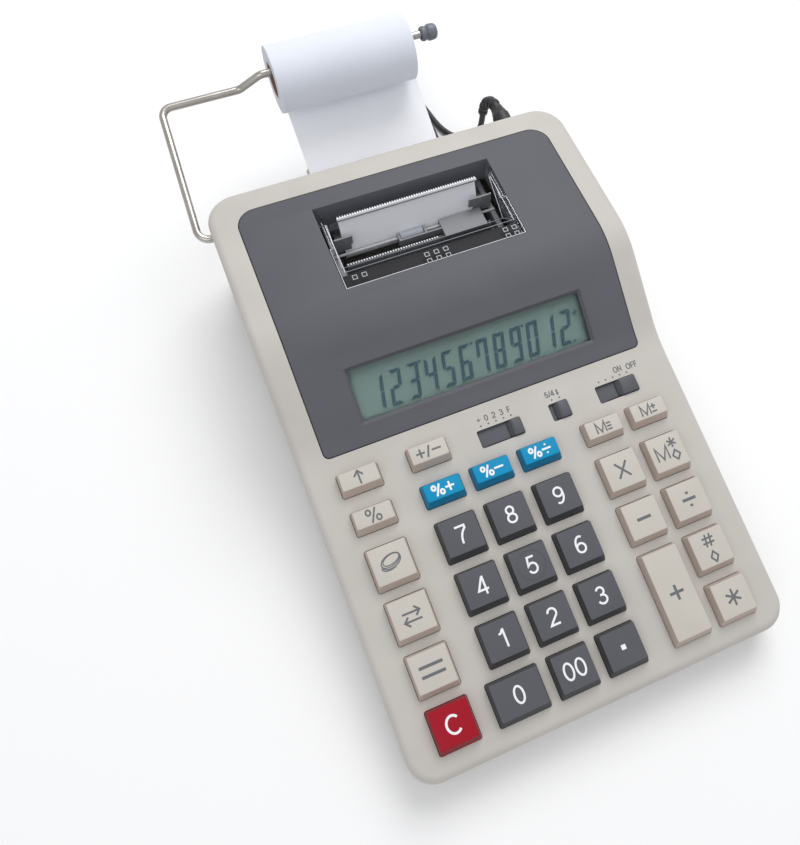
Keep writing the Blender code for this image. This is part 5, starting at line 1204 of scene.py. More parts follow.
def build_keys():
    for name, column, first_row, last_row, finish, signs, height, stroke in KEY_TABLE:
        slot, ink = finish + "_key", "grey_ink" if finish == "beige" else "white_ink"
        x0, x1, y0, y1 = hole_bounds(name, column, first_row, last_row)
        a0, a1 = x0 + KEY_CLEARANCE, x1 - KEY_CLEARANCE
        b0, b1 = y0 + KEY_CLEARANCE, y1 - KEY_CLEARANCE

        def level(side, near, far, z):
            return rounded_ring(a0 + side, a1 - side, b0 + near, b1 - far, KEY_RADIUS, z)

        flange_top = -DECK_THICKNESS - SEAT_GAP
        flange = -KEY_FLANGE
        rings = [
            level(flange, flange, flange, flange_top - KEY_FLANGE_THICKNESS),
            level(flange, flange, flange, flange_top),
            level(0.0, 0.0, 0.0, flange_top),
            level(0.0, 0.0, 0.0, KEY_SHOULDER),
        ]
        for inset, drop in edge_steps(KEY_EDGE):
            z = KEY_HEIGHT - drop
            share = (z - KEY_SHOULDER) / (KEY_HEIGHT - KEY_SHOULDER)
            insets = [reach * share + inset for reach in (KEY_SIDE_INSET, KEY_FRONT_INSET, KEY_REAR_INSET)]
            rings.append(level(*insets, z))
        key = moved(loft(name + "_cap", rings), KEYPAD)
        dress(key, name, finish, slot, name, smooth=25.0)
        # Painted shade: faces that slope away from the top take the darker copy of the key's colour
        key.data.materials.append(MATERIALS[finish + "_side"])
        for face in key.data.polygons:
            if face.normal.dot(KEY_UP) < SHADED_SIDE_LIMIT:
                face.material_index = 1
        middle = (b0 + KEY_FRONT_INSET + b1 - KEY_REAR_INSET) / 2
        top = KEYPAD @ Matrix.Translation(((x0 + x1) / 2, middle, KEY_HEIGHT))
        text = text_mesh(name + "_legend", signs, height, stroke)
        dress(moved(text, top), name, ink, slot, smooth=0.0)
        if name == "key_5":
            circle = ring(0.0, 0.0, TOUCH_RING_RADIUS, TOUCH_RING_RADIUS)
            rim = stroke_mesh(*circle, TOUCH_RING_WIDTH, -LEGEND_SINK, TOUCH_RING_RISE)
            dress(moved(new_object("key_5_ring", *rim), top), name, finish, slot)


def build_switches():
    far = -SLOT_START - KNOB_CLEARANCE
    near = -SLOT_START - SLOT_WIDTH + KNOB_CLEARANCE
    floor = -SLOT_DEPTH + SEAT_GAP
    middle = near - KNOB_CLEARANCE + KNOB_STEM_FRONT
    rise = KNOB_HEIGHT - floor - KNOB_EDGE
    half, half_depth = KNOB_STEM_HALF, KNOB_STEM_HALF_DEPTH
    for name, left, right, _ in knob_places():
        rings = [rounded_ring(left, right, near, far, KNOB_RADIUS, z) for z in (floor, floor + KNOB_EDGE)]
        for inset, drop in edge_steps(KNOB_EDGE):
            z = KNOB_HEIGHT - drop
            start = left + (KNOB_SLOPE - KNOB_EDGE) * ((z - floor - KNOB_EDGE) / rise) + inset
            rings.append(rounded_ring(start, right - inset, near + inset, far - inset, KNOB_RADIUS, z))
        knob = loft(name + "_knob", rings)
        x = (left + right) / 2
        plan = (x - half, x + half, middle - half_depth, middle + half_depth)
        join(knob, block("stem", *plan, floor - KNOB_STEM_LENGTH, floor + KNOB_EDGE))
        dress(moved(knob, KEYPAD), name, "knob", "fascia", name)


def deck_text(name, text, x, y, height=LABEL_HEIGHT, squeeze=1.0, stroke=LABEL_STROKE_SHARE):
    label = text_mesh(name, text, height, stroke, squeeze)
    dress(moved(label, KEYPAD @ Matrix.Translation((x, y, 0.0))), "root", "grey_ink", "fascia", smooth=0.0)


def build_labels():
    """The dots and signs over the three switches."""
    dots = []
    table = (
        (DECIMALS_FIRST_DOT, DECIMALS_DOT_PITCH, 5), (ROUNDING_FIRST_DOT, ROUNDING_DOT_PITCH, 2),
        (POWER_FIRST_DOT, POWER_DOT_PITCH, 5),
    )
    for first, pitch, count in table:
        for k in range(count):
            ends = [(first + pitch * k, DOT_RISE - SLOT_START, z) for z in (-LEGEND_SINK, LEGEND_RISE)]
            dots.append(rod("dot", *ends, LABEL_DOT, LABEL_DOT_SIDES))
    dress(moved(group("switch_dots", dots), KEYPAD), "root", "grey_ink", "fascia")
    y = -SLOT_START + LABEL_RISE + LABEL_HEIGHT / 2
    for k, sign in enumerate("p023F"):
        size = LABEL_HEIGHT * LABEL_PLUS_SHARE if sign == "p" else LABEL_HEIGHT
        deck_text("decimals_sign_%d" % k, sign, DECIMALS_FIRST_DOT + DECIMALS_DOT_PITCH * k, y, size)
    deck_text("rounding_sign", "5/4", ROUNDING_FIRST_DOT, y, squeeze=LABEL_SQUEEZE_SHARE)
    mark_x = ROUNDING_FIRST_DOT + ROUNDING_DOT_PITCH
    deck_text("rounding_mark", "v", mark_x, y, stroke=LABEL_MARK_STROKE_SHARE)
    deck_text("power_on", "ON", POWER_FIRST_DOT + POWER_DOT_PITCH * POWER_ON_DOT, y)
    deck_text("power_off", "OFF", POWER_OFF_X, y - LABEL_DOT)


# Fascia and display
def within(spot, half, start, length):
    """Whether a spot lies in an opening of this half width, or on its wall."""
    return abs(spot.x) < half + SEAT_GAP and start - SEAT_GAP < spot.y < start + length + SEAT_GAP


def build_fascia():
    edge = FASCIA_EDGE
    levels = [
        (0.0, below_top(FASCIA_THICKNESS)), (0.0, below_top(edge)), (edge * 0.3, below_top(edge * 0.3)),
        (edge, below_top(0.0)),
    ]
    fascia = fascia_solid("fascia_plate", 0.0, levels)
    half, outer = PRINTER_HALF_WIDTH, PRINTER_HALF_WIDTH + SKIRT_WALL
    end = PRINTER_START + PRINTER_LENGTH
    plan = (-outer, outer, PRINTER_START + SKIRT_WALL, end + SKIRT_WALL)
    join(fascia, moved(block("skirt", *plan, -SKIRT_DEPTH, -FASCIA_THICKNESS / 2), PRINTER))
    plan = (-half, half, PRINTER_START, end, FASCIA_EDGE)
    opening = rounded_block("opening", *plan, -SKIRT_DEPTH - OVERRUN, OVERRUN)
    pin_hole = HINGE_PIN_RADIUS + AXLE_CLEARANCE
    pins = rod_x("pins", -outer - OVERRUN, outer + OVERRUN, HINGE_BACK, -HINGE_DEPTH, pin_hole)
    cut(fascia, moved(opening, PRINTER), moved(pins, PRINTER))

    def level(inset, radius, z):
        half = WINDOW_HALF_WIDTH - inset
        return rounded_ring(-half, half, WINDOW_START + inset, WINDOW_START + WINDOW_DEPTH - inset, radius, z)

    window = loft("window", [
        level(0.0, WINDOW_RADIUS / 2, -OVERRUN),
        level(0.0, WINDOW_RADIUS / 2, -WINDOW_BEVEL),
        level(-WINDOW_BEVEL, WINDOW_RADIUS, 0.0),
        level(-WINDOW_BEVEL - OVERRUN, WINDOW_RADIUS + OVERRUN, OVERRUN),
    ])
    cut(fascia, moved(window, DISPLAY))
    dress(fascia, "root", "fascia", "fascia", "fascia", smooth=25.0)
    # Extra finishes: painted light for the walls inside the printer opening, painted shade for those inside
    # the display window
    for finish in ("well", "shade"):
        fascia.data.materials.append(MATERIALS[finish])
    to_printer, to_display = (ORIGIN @ PRINTER).inverted(), (ORIGIN @ DISPLAY).inverted()
    for face in fascia.data.polygons:
        # Painted light: faces below the edge inside the printer opening take the paler copy of the fascia
        # colour
        spot = to_printer @ face.center
        if within(spot, half, PRINTER_START, PRINTER_LENGTH):
            face.material_index = 1 if spot.z < -FASCIA_EDGE else 0
        # Painted shade: the walls below the bevel inside the display window go near-black
        spot = to_display @ face.center
        if within(spot, WINDOW_HALF_WIDTH, WINDOW_START, WINDOW_DEPTH):
            if -FASCIA_THICKNESS < spot.z < -WINDOW_BEVEL:
                face.material_index = 2


SEGMENTS = {
    "0": "abcdef", "1": "bc", "2": "abged", "3": "abgcd", "4": "fgbc", "5": "afgcd", "6": "afgedc",
    "7": "fabc", "8": "abcdefg", "9": "abcdfg",
}


def segment_outline(kind):
    """One bar of a seven-bar figure, as a mitred outline in its cell."""
    w, h, t, g = CELL_WIDTH, CELL_HEIGHT, SEGMENT_WIDTH, SEGMENT_GAP
    half, tip = h / 2, t * SEGMENT_TIP_SHARE
    if kind == "a":
        return [(g, h), (w - g, h), (w - t - g, h - t), (t + g, h - t)]
    if kind == "d":
        return [(t + g, t), (w - t - g, t), (w - g, 0.0), (g, 0.0)]
    if kind == "g":
        return [
            (tip + g, half), (t + g, half + t / 2), (w - t - g, half + t / 2), (w - tip - g, half),
            (w - t - g, half - t / 2), (t + g, half - t / 2),
        ]
    left = [(0.0, half + g), (0.0, h - g), (t, h - t - g), (t, half + t / 2 + g), (tip, half + g)]
    if kind == "b":
        return [(w - x, y) for x, y in left]
    if kind == "c":
        return [(w - x, h - y) for x, y in left]
    if kind == "e":
        return [(x, h - y) for x, y in left]
    return left


def build_display():
    half, top = WINDOW_HALF_WIDTH + DISPLAY_MARGIN, -DISPLAY_DEPTH
    low, high = WINDOW_START - DISPLAY_MARGIN, WINDOW_START + WINDOW_DEPTH + DISPLAY_MARGIN
    bottom = -FASCIA_THICKNESS - 2 * SEAT_GAP - WINDOW_THICKNESS - MODULE_THICKNESS
    back = block("display_panel", -half, half, low, high, bottom, top)
    dress(moved(back, DISPLAY), "root", "display", "display", "lcd_module")
    figures, shadows = [], []
    figure_base, shadow_base = top + DIGIT_SHADOW_DROP, top + SEGMENT_THICKNESS

    def bar(outline, x, z):
        spots = [(x + px + py * CELL_SLANT_SHARE, CELL_BOTTOM + py) for px, py in outline]
        return extrude_z("bar", spots, z, z + SEGMENT_THICKNESS)

    size = TICK_SIZE
    for k, digit in enumerate(DISPLAY_DIGITS):
        x = CELL_LEFT + CELL_PITCH * k
        for kind in SEGMENTS[digit]:
            figures.append(bar(segment_outline(kind), x, figure_base))
            shadows.append(bar(segment_outline(kind), x, shadow_base))
        if k % COMMA_EVERY == COMMA_EVERY - 1 and k < len(DISPLAY_DIGITS) - 1:
            tick = CELL_WIDTH + SEGMENT_GAP * 2
            mark = rectangle(tick, tick + size, CELL_HEIGHT - size, CELL_HEIGHT)
            figures.append(bar(mark, x, figure_base))
    tick = CELL_WIDTH + SEGMENT_GAP * 3
    figures.append(bar(rectangle(tick, tick + size, 0.0, size), x, figure_base))
    plus_x, plus_y = CELL_WIDTH + 2 * SIGN_REACH, CELL_HEIGHT - 2 * SIGN_REACH
    reach, thin = SIGN_REACH, SIGN_HALF_LINE
    for along, up, rise in ((reach, thin, 0.0), (thin, reach, SEGMENT_THICKNESS)):
        outline = rectangle(plus_x - along, plus_x + along, plus_y - up, plus_y + up)
        figures.append(bar(outline, x, figure_base + rise))
    for name, pieces, finish in (
        ("display_figures", figures, "segment"), ("display_figure_shadows", shadows, "segment_shadow"),
    ):
        dress(moved(group(name, pieces), DISPLAY), "root", finish, "display", smooth=0.0)


# Printer cover
def bent_band(points, thickness, radius, steps):
    """The side section of a sheet with rounded bends."""
    centre = rounded_path(points, radius, steps)
    lower = []
    for i, point in enumerate(centre):
        a = centre[max(i - 1, 0)]
        b = centre[min(i + 1, len(centre) - 1)]
        along = (b - a).normalized()
        lower.append(point + Vector((along.y, -along.x)) * thickness)
    return [tuple(p) for p in centre] + [tuple(p) for p in reversed(lower)]


def comb(left, right, pitch, base, valley, tip):
    count = int((right - left) / pitch)
    step = (right - left) / count
    outline = [(left, base), (right, base), (right, valley)]
    for k in reversed(range(count)):
        outline += [(left + step * k + step / 2, tip), (left + step * k, valley)]
    return outline


def build_cover():
    start = PRINTER_START + SEAT_GAP
    lip_end = start + LIP_DEPTH
    bends = [(start, 0.0), (lip_end, 0.0), (TROUGH_BACK, -TROUGH_DEPTH), (WINDOW_END, 0.0)]
    section = bent_band(bends, COVER_THICKNESS, COVER_BEND, COVER_BEND_STEPS)
    cover = extrude_x("clear_cover", section, -COVER_HALF_WIDTH, COVER_HALF_WIDTH)
    thick, fuse = COVER_THICKNESS, FUSE / 2
    cheek = [
        (lip_end + fuse, -fuse), (WINDOW_END, -fuse), (WINDOW_END - fuse, -thick),
        (TROUGH_BACK, -TROUGH_DEPTH - fuse),
    ]
    hinge = (HINGE_BACK, -HINGE_DEPTH)
    parts = []
    for side in (-1, 1):
        rim = side * (COVER_HALF_WIDTH - CHEEK_THICKNESS)
        parts.append(extrude_x("cheek", cheek, rim, side * (COVER_HALF_WIDTH - fuse)))
        edge = side * (COVER_HALF_WIDTH - FUSE)
        flange = rectangle(start, FLANGE_STEP, -thick, 0.0)
        parts.append(extrude_x("flange", flange, edge, side * FLANGE_OUTER))
        neck = rectangle(FLANGE_STEP - FUSE, HINGE_BACK, -thick, 0.0)
        parts.append(extrude_x("neck", neck, edge, side * FLANGE_NECK))
        inner, outer = side * HINGE_LUG_INNER, side * (FLANGE_NECK + FUSE)
        parts.append(rod_x("lug", inner, outer, *hinge, HINGE_LUG_RADIUS))
        pin_end = side * (PRINTER_HALF_WIDTH + HINGE_PIN_REACH)
        parts.append(rod_x("pin", side * FLANGE_NECK, pin_end, *hinge, HINGE_PIN_RADIUS))
    join(cover, *parts)
    dress(moved(cover, PRINTER), "cover", "clear", "clear", "printer_cover", smooth=25.0)
    base = TEAR_BACK - TEAR_BAND
    valley, tip = TEAR_BACK, TEAR_BACK + TEAR_TOOTH
    outline = comb(TEAR_LEFT, TEAR_RIGHT, TEAR_PITCH, TEAR_BACK - LEGEND_RISE, valley, tip)
    # Painted highlight: the clear teeth are drawn near-white for the light they catch
    teeth = extrude_z("tear_teeth", outline, -TEAR_SINK, TEAR_RISE - LEGEND_SINK)
    dress(moved(teeth, PRINTER), "cover", "frosted", "clear", smooth=0.0)
    # Painted highlight: a grey band along the root of the clear teeth
    band = block("tear_band", TEAR_LEFT, TEAR_RIGHT, base, TEAR_BACK - LEGEND_SINK, -TEAR_SINK, TEAR_RISE)
    dress(moved(band, PRINTER), "cover", "haze", "clear", smooth=0.0)


def build_cover_edges():
    """Painted highlights: pale rods along the clear sheet's edges and dimmer ones along its folds, for the
    light that they catch.
    """
    start = PRINTER_START + SEAT_GAP
    lip_end = start + LIP_DEPTH
    down, bottom = -EDGE_RADIUS, -TROUGH_DEPTH + EDGE_RADIUS
    inner = COVER_HALF_WIDTH - CHEEK_THICKNESS
    bright = [[(-FLANGE_OUTER, start, down), (FLANGE_OUTER, start, down)]]
    dull = [
        [(-COVER_HALF_WIDTH, lip_end, down), (COVER_HALF_WIDTH, lip_end, down)],
        [(-inner, TROUGH_BACK, bottom), (inner, TROUGH_BACK, bottom)],
    ]
    for side in (-1, 1):
        flange, neck = side * (FLANGE_OUTER - EDGE_RADIUS), side * (FLANGE_NECK - EDGE_RADIUS)
        bright.append([(flange, start, down), (flange, FLANGE_STEP, down), (neck, FLANGE_STEP, down)])
        dull.append([(neck, FLANGE_STEP, down), (neck, HINGE_BACK - HINGE_LUG_RADIUS, down)])
        rim = side * (COVER_HALF_WIDTH - CHEEK_THICKNESS / 2)
        bright.append([(rim, lip_end, down), (rim, WINDOW_END, down)])
        bright.append([(side * inner, WINDOW_END, down), (side * inner, TROUGH_BACK, bottom)])
        dull.append([(side * inner, TROUGH_BACK, bottom), (side * inner, lip_end, down)])
    for name, finish, lines in (("cover_rim_glints", "frosted", bright), ("cover_fold_glints", "haze", dull)):
        rods = [sweep("rim", path, [EDGE_RADIUS] * len(path), EDGE_SIDES) for path in lines]
        dress(moved(group(name, rods), PRINTER), "cover", finish, "clear")


def build_printer_details():
    """A near-black shelf under the cover's lip as painted shade, the plates that guide the paper, and the
    white teeth of the rack.
    """
    half, start = SHELF_HALF_WIDTH, PRINTER_START - SEAT_GAP
    # Painted shade: a near-black plate that darkens the gap under the cover's lip
    shelf = block("painted_shade_shelf", -half, half, start, SHELF_END, -SHELF_DEPTH, -SHELF_TOP)
    dress(moved(shelf, PRINTER), "root", "shade", "fascia")
    plates = [
        block("plate", x0, x1, GUIDE_START, GUIDE_START + GUIDE_WIDTH, -GUIDE_BOTTOM, -GUIDE_TOP)
        for x0, x1 in ((-GUIDE_REACH, GUIDE_LEFT), (GUIDE_RIGHT, GUIDE_REACH))
    ]
    dress(moved(group("paper_guides", plates), PRINTER), "root", "frame", "frame", smooth=0.0)
    half = FRAME_INNER - RACK_END_GAP
    count = int(2 * half / RACK_PITCH)
    step = 2 * half / count
    reach = step * RACK_TOOTH_SHARE / 2
    middle = RACK_START + RACK_WIDTH / 2
    near, far = middle - RACK_SHOWN_WIDTH / 2, middle + RACK_SHOWN_WIDTH / 2
    bottom, top = -RACK_ROOT_DEPTH, -RACK_ROOT_DEPTH + RACK_TOOTH + LEGEND_RISE
    places = [-half + step * (k + 0.5) for k in range(count)]
    shown = [x for x in places if x <= RACK_SHOWN_TO]
    teeth = [block("tooth", x - reach, x + reach, near, far, bottom, top) for x in shown]
    dress(moved(group("rack_teeth", teeth), PRINTER), "root", "rack", "white_plastic", smooth=0.0)


def build_squares():
    """Small raised square rings that roughen the cover's lip, drawn opaque grey as a painted highlight for
    the light on their clear edges.
    """
    pieces = []
    for row, places in enumerate(SQUARE_ROWS):
        y = SQUARE_BACK - SQUARE_ROW_PITCH * row
        for x in places:
            plans = [(x - half, x + half, y - half, y + half) for half in (SQUARE_SIZE / 2, SQUARE_HOLE / 2)]
            body = block("square", *plans[0], LEGEND_SINK, SQUARE_RISE)
            cut(body, block("hole", *plans[1], -OVERRUN, OVERRUN))
            pieces.append(body)
    dress(moved(group("cover_squares", pieces), PRINTER), "cover", "rim", "clear")


# Paper
def paper_normal():
    along = Vector((PAPER_END_BACK - NIP_BACK, NIP_DEPTH - PAPER_END_DEPTH)).normalized()
    return along, Vector((along.y, -along.x))


def platen_axis():
    _, across = paper_normal()
    centre = Vector((NIP_BACK, -NIP_DEPTH)) + across * (PLATEN_RADIUS + PLATEN_PAPER_GAP)
    return centre.x, centre.y


def web_touch():
    angle = math.atan(WEB_FALL_SHARE)
    reach = ROLL_RADIUS + SEAT_GAP + WEB_THICKNESS / 2
    return Vector((ROLL_BACK + reach * math.sin(angle), ROLL_HEIGHT - reach * math.cos(angle)))


def web_height(back):
    touch = web_touch()
    return touch.y - (touch.x - back) * WEB_FALL_SHARE


def paper_line():
    """The middle line of the paper as (Y, Z) points, from the roll to the tear bar."""

    def on_plane(back, up):
        spot = PRINTER @ Vector((0.0, back, up))
        return Vector((spot.y, spot.z))

    centre = on_plane(*platen_axis())
    nip = on_plane(NIP_BACK, -NIP_DEPTH)
    end = on_plane(PAPER_END_BACK, -PAPER_END_DEPTH)
    radius = PLATEN_RADIUS + PLATEN_PAPER_GAP
    dip = Vector((WEB_DIP_BACK, web_height(WEB_DIP_BACK)))
    to_centre = centre - dip
    length = math.sqrt(to_centre.length ** 2 - radius ** 2)
    angle = math.atan2(to_centre.y, to_centre.x) + math.asin(radius / to_centre.length)
    touch = dip + Vector((math.cos(angle), math.sin(angle))) * length
    start = web_touch()
    bend = arc_points(dip, start, touch, WEB_DIP_RADIUS, WEB_ARC_STEPS)
    points = [start.lerp(bend[0], k / WEB_STRAIGHT_STEPS) for k in range(WEB_STRAIGHT_STEPS)] + bend
    first = math.atan2(touch.y - centre.y, touch.x - centre.x) % (2 * math.pi)
    last = math.atan2(nip.y - centre.y, nip.x - centre.x) % (2 * math.pi)
    for k in range(WEB_ARC_STEPS + 1):
        a = first + (last - first) * k / WEB_ARC_STEPS
        points.append(centre + Vector((math.cos(a), math.sin(a))) * radius)
    return points + [end]


def build_web():
    path = paper_line()
    left, right = WEB_LEFT, WEB_LEFT + WEB_WIDTH
    rings = []
    for i, point in enumerate(path):
        along = (path[min(i + 1, len(path) - 1)] - path[max(i - 1, 0)]).normalized()
        across = Vector((-along.y, along.x)) * WEB_THICKNESS / 2
        a, b = point + across, point - across
        rings.append([(left, a.x, a.y), (right, a.x, a.y), (right, b.x, b.y), (left, b.x, b.y)])
    web = loft("paper_strip", rings)
    # Painted light: the web takes the paler copy of the paper
    coat(web, "paper_painted_light")
    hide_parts("paper_web")
    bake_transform(web)


def build_roll():
    """The roll: its outer turn ends in a step where the web leaves, and its ends show the turns."""
    core, right = CORE_BORE + CORE_WALL, ROLL_LEFT + ROLL_WIDTH
    bevel = ROLL_BEVEL
    start = -math.pi / 2 + math.atan(WEB_FALL_SHARE)
    verts = []
    places = (
        (ROLL_LEFT + bevel, 0.0), (right - bevel, 0.0), (right, bevel), (right, None), (ROLL_LEFT, None),
        (ROLL_LEFT, bevel),
    )

    def on_roll(x, radius, angle):
        return x, ROLL_BACK + radius * math.cos(angle), ROLL_HEIGHT + radius * math.sin(angle)

    for k in range(ROLL_SIDES):
        outer = ROLL_RADIUS - WEB_THICKNESS * (1 - k / ROLL_SIDES)
        for x, inset in places:
            radius = core + SEAT_GAP / 2 if inset is None else outer - inset
            verts.append(on_roll(x, radius, start + 2 * math.pi * k / ROLL_SIDES))
    roll = new_object("paper_roll_turns", verts, band_faces(len(places), ROLL_SIDES, closed=True))
    dress(roll, "roll", "paper", "paper", "paper_roll")
    roll.data.materials.append(MATERIALS["layers"])
    for face in roll.data.polygons:
        if abs(face.normal.x) > END_FACE_LIMIT:
            face.material_index = 1
    rims = ((ROLL_LEFT, core), (right, core), (right, CORE_BORE), (ROLL_LEFT, CORE_BORE))
    verts = [on_roll(x, r, 2 * math.pi * k / ROLL_SIDES) for x, r in rims for k in range(ROLL_SIDES)]
    tube = new_object("card_core", verts, band_faces(ROLL_SIDES, len(rims), closed=True))
    dress(tube, "roll", "card", "card", "roll_core")


def build_arm():
    spindle = ROLL_HEIGHT + CORE_BORE - SEAT_GAP - ARM_RADIUS
    points = [
        (ARM_INNER_END, PIVOT_BACK, PIVOT_HEIGHT), (-ARM_SIDE, PIVOT_BACK, PIVOT_HEIGHT),
        (-CROSSBAR_SIDE, CROSSBAR_BACK, CROSSBAR_HEIGHT), (JOG_START, CROSSBAR_BACK, CROSSBAR_HEIGHT),
        (JOG_END, ROLL_BACK, spindle), (SPINDLE_END, ROLL_BACK, spindle),
    ]
    path = rounded_path(points, ARM_BEND, BEND_STEPS)
    arm = sweep("wire_arm", path, [ARM_RADIUS] * len(path), ARM_SIDES)
    dress(arm, "arm", "wire", "wire", "roll_arm", smooth=50.0)
    cap_path = [(CAP_LEFT + CAP_LENGTH * a, ROLL_BACK, spindle) for a, _ in CAP_SHAPE_SHARES]
    cap = sweep("rubber_cap", cap_path, [CAP_RADIUS * r for _, r in CAP_SHAPE_SHARES], CAP_SIDES)
    bore = ARM_RADIUS + SEAT_GAP
    cut(cap, rod_x("bore", CAP_LEFT - OVERRUN, SPINDLE_END + SEAT_GAP, ROLL_BACK, spindle, bore))
    dress(cap, "arm", "cap", "rubber", "arm_end_cap")


# Plug, lead and adapter
def build_plug():
    face = CASE_LENGTH + SEAT_GAP
    nose, barrel_end = face - PLUG_NOSE_LENGTH, face + PLUG_BARREL_LENGTH
    edge = PLUG_EDGE
    relief = in_metres(RELIEF_PATH_MM)
    profile = [
        (nose, PLUG_NOSE_RADIUS - edge), (nose + edge, PLUG_NOSE_RADIUS), (face, PLUG_NOSE_RADIUS),
        (face, PLUG_RADIUS - edge), (face + edge, PLUG_RADIUS),
        (barrel_end - edge, PLUG_RADIUS), (barrel_end, PLUG_RADIUS - edge),
        (barrel_end + PLUG_NECK_LENGTH, PLUG_NECK_RADIUS),
    ]
    path = [(JACK_X, y, JACK_HEIGHT) for y, _ in profile]
    radii = [r for _, r in profile]
    curve = smooth_path(relief, SEAT_GAP)
    lengths = np.cumsum([0.0] + [float(np.linalg.norm(b - a)) for a, b in zip(curve, curve[1:])])
    bands = 2 * RELIEF_RIBS - 1
    for k in range(bands):
        for place in (k + RELIEF_SOFT_SHARE, k + 0.5, k + 1 - RELIEF_SOFT_SHARE):
            share = place / bands
            reach = share * lengths[-1]
            path.append(tuple(float(np.interp(reach, lengths, axis)) for axis in zip(*curve)))
            radius = RELIEF_RADIUS + (RELIEF_END_RADIUS - RELIEF_RADIUS) * share
            radii.append(radius - (RELIEF_GROOVE if k % 2 else 0.0))
    path.append(relief[-1])
    radii.append(RELIEF_END_RADIUS)
    plug = sweep("lead_plug", path, radii, PLUG_SIDES)
    return dress(plug, "root", "black", "black_plastic", "dc_plug", smooth=40.0)


def build_adapter():
    left, right = ADAPTER_LEFT, ADAPTER_LEFT + ADAPTER_LENGTH
    start, end = ADAPTER_START, ADAPTER_START + ADAPTER_WIDTH
    plan = (left, right, start, end, ADAPTER_RADIUS)
    body = soft_block("adapter_body", *plan, 0.0, ADAPTER_HEIGHT, ADAPTER_EDGE)
    seam, middle = ADAPTER_SEAM, ADAPTER_HEIGHT / 2
    plan = (left - OVERRUN, right + OVERRUN, start - OVERRUN, end + OVERRUN, ADAPTER_RADIUS)
    outer = rounded_block("groove", *plan, middle - seam, middle + seam)
    plan = (left + seam * 2, right - seam * 2, start + seam * 2, end - seam * 2, ADAPTER_RADIUS)
    cut(outer, rounded_block("core", *plan, middle - OVERRUN, middle + OVERRUN))
    cut(body, outer)
    y_middle = (start + end) / 2
    r, tip, root = PIN_RADIUS, left - PIN_LENGTH, left + ADAPTER_RADIUS
    places = [(root, r)] + [(tip + r * back, r * share) for back, share in PIN_TIP_SHARES]
    pins = []
    for y in (y_middle - PIN_SPACING / 2, y_middle + PIN_SPACING / 2):
        pins.append(sweep("pin", [(x, y, PIN_HEIGHT) for x, _ in places], [p for _, p in places], PIN_SIDES))
        sleeve_end = left - PIN_LENGTH * SLEEVE_SHARE
        join(body, rod_x("sleeve", sleeve_end, root, y, PIN_HEIGHT, r - SLEEVE_INSET))
    dress(body, "root", "black", "black_plastic", "wall_adapter", smooth=30.0)
    metal = dress(group("adapter_pins", pins), "root", "wire", "wire")
    boot_path, radii = [(BOOT_X, end - ADAPTER_EDGE, PIN_HEIGHT)], [BOOT_RADIUS]
    bands = 2 * BOOT_RIBS - 1
    for k in range(bands):
        for share in (k / bands, (k + 1) / bands):
            boot_path.append((BOOT_X, end + BOOT_LENGTH * share, PIN_HEIGHT))
            radius = BOOT_RADIUS + (BOOT_END_RADIUS - BOOT_RADIUS) * share
            radii.append(radius - (RELIEF_GROOVE / 2 if k % 2 else 0.0))
    boot = dress(sweep("adapter_boot", boot_path, radii, PLUG_SIDES), "root", "black", "black_plastic")
    return body, metal, boot


def coil_points():
    """Each layer spirals in or out, and the cord climbs a layer where the spiral reverses."""
    per_layer = round(LOOPS_PER_LAYER * POINTS_PER_LOOP)
    half_climb = POINTS_PER_LOOP // 4
    points = []
    for k in range(COIL_LAYERS * per_layer + 1):
        layer, place = divmod(k, per_layer)
        share = place / per_layer
        radius = COIL_OUTER - COIL_PITCH * LOOPS_PER_LAYER * (share if layer % 2 == 0 else 1.0 - share)
        climb = 0.0
        for reversal in range(1, COIL_LAYERS):
            climb += min(max((k - reversal * per_layer + half_climb) / (2 * half_climb), 0.0), 1.0)
        angle = 2 * math.pi * k / POINTS_PER_LOOP
        spot = (COIL_X + radius * math.cos(angle), COIL_BACK + radius * math.sin(angle))
        points.append(Vector((*spot, CORD_FLOOR + COIL_LAYER_PITCH * climb)))
    return points


def build_lead(with_pieces):
    coil = coil_points()
    tail = smooth_path([tuple(coil[-1])] + in_metres(TAIL_PATH_MM), CORD_STEP, tuple(coil[-2]))
    into = (coil[1] - coil[0]).normalized()
    straight = coil[0] - into * (CORD_JOINT + 2 * CORD_RADIUS)
    run = smooth_path(in_metres(LEAD_PATH_MM) + [tuple(straight)], CORD_STEP)
    points = [ORIGIN @ Vector(p) for p in run + coil + tail[1:]]
    curve = bpy.data.curves.new("lead", "CURVE")
    curve.dimensions = "3D"
    curve.bevel_depth = CORD_RADIUS
    curve.bevel_resolution = 4
    curve.use_fill_caps = True
    spline = curve.splines.new("POLY")
    spline.points.add(len(points) - 1)
    for target, point in zip(spline.points, points):
        target.co = (*point, 1.0)
    spline.use_smooth = True
    paint(curve, "sheath")
    lead = linked("lead", curve)
    length = sum((b - a).length for a, b in zip(points, points[1:]))
    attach(lead, "root")
    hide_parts("cord_lead", "cord_coil")
    tuple(points[0])


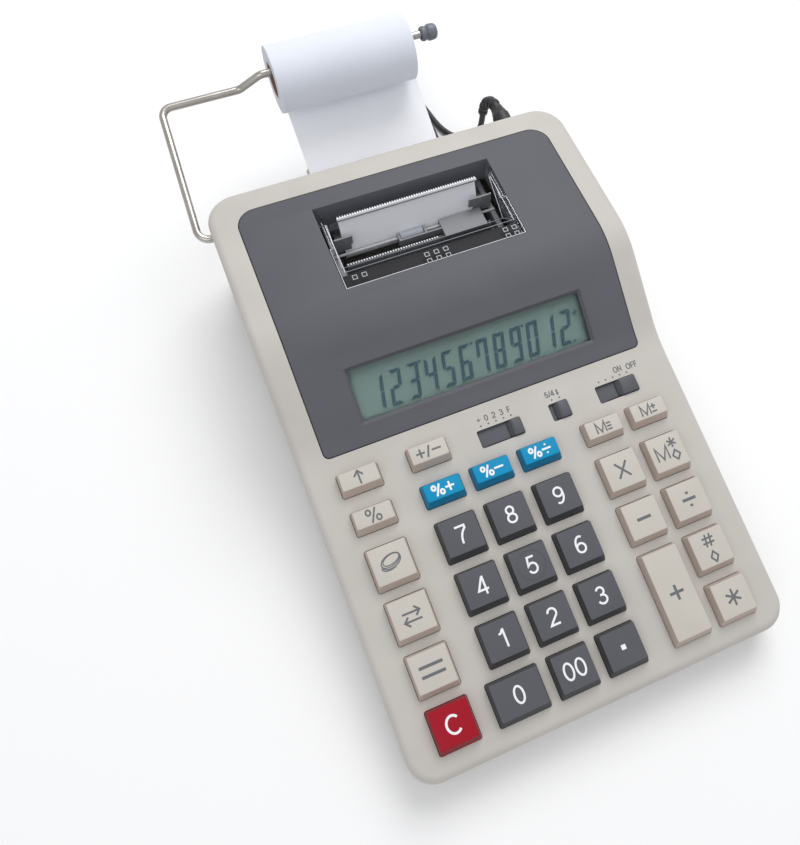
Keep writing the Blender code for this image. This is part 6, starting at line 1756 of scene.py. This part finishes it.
# Solids of the frame that keep their shape and get a finish
KEPT_SOLIDS = {
    "lower_case": "case", "battery_cover": "case", "front_foot": "rubber", "rear_foot": "rubber",
    "printer_frame": "frame", "guide_shaft": "shaft", "platen_roller": "platen", "print_carriage": "carriage",
    "print_wheel": "roller", "main_board": "board", "key_mat": "mat", "dc_jack": "black",
    "lcd_window": "glass",
}


def finish_nodes():
    for node, finish in KEPT_SOLIDS.items():
        paint(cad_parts[node].data, finish)


# Floor, light and camera
def build_stage():
    corners = [(x, y, 0.0) for x, y in rectangle(-FLOOR_SIZE, FLOOR_SIZE, -FLOOR_SIZE, FLOOR_SIZE)]
    floor = linked("floor", plain_mesh("floor", corners, [(0, 1, 2, 3)]))
    surface = Surface("floor_white", FLOOR_COLOUR, FLOOR_ROUGHNESS)
    put(surface.principled, {"Specular IOR Level": FLOOR_SPECULAR})
    floor.data.materials.append(surface.made)


def build_lights():
    """A soft room, and square lamps that all face the middle of the floor."""
    world = bpy.data.worlds.new("soft_room")
    bpy.context.scene.world = world
    world.use_nodes = True
    put(world.node_tree.nodes["Background"], {"Color": ROOM_COLOUR, "Strength": ROOM_STRENGTH})
    for name, place, size, power in LAMPS:
        light = bpy.data.lights.new(name, "AREA")
        light.shape = "RECTANGLE"
        light.size, light.size_y = size, size
        light.energy = power
        lamp = linked(name, light)
        lamp.location = place
        lamp.rotation_euler = (-Vector(place)).to_track_quat("-Z", "Y").to_euler()


def build_camera():
    data = bpy.data.cameras.new("camera")
    data.sensor_fit = "HORIZONTAL"
    data.sensor_width = CAMERA_SENSOR
    data.lens = CAMERA_LENS
    data.shift_x = CAMERA_SHIFT
    data.clip_start = CAMERA_NEAR
    camera = linked("camera", data)
    camera.location = CAMERA_PLACE
    camera.rotation_euler = [math.radians(a) for a in CAMERA_TURN]
    bpy.context.scene.camera = camera


def main():
    build_stage()
    build_lights()
    build_camera()
    build_upper_case()
    build_slot_liners()
    build_keys()
    build_switches()
    build_labels()
    build_fascia()
    build_display()
    build_cover()
    build_cover_edges()
    build_squares()
    build_printer_details()
    build_web()
    build_roll()
    build_arm()
    plug = build_plug()
    build_lead([plug, *build_adapter()])
    finish_nodes()
    bpy.context.scene.view_settings.view_transform = "Standard"


main()
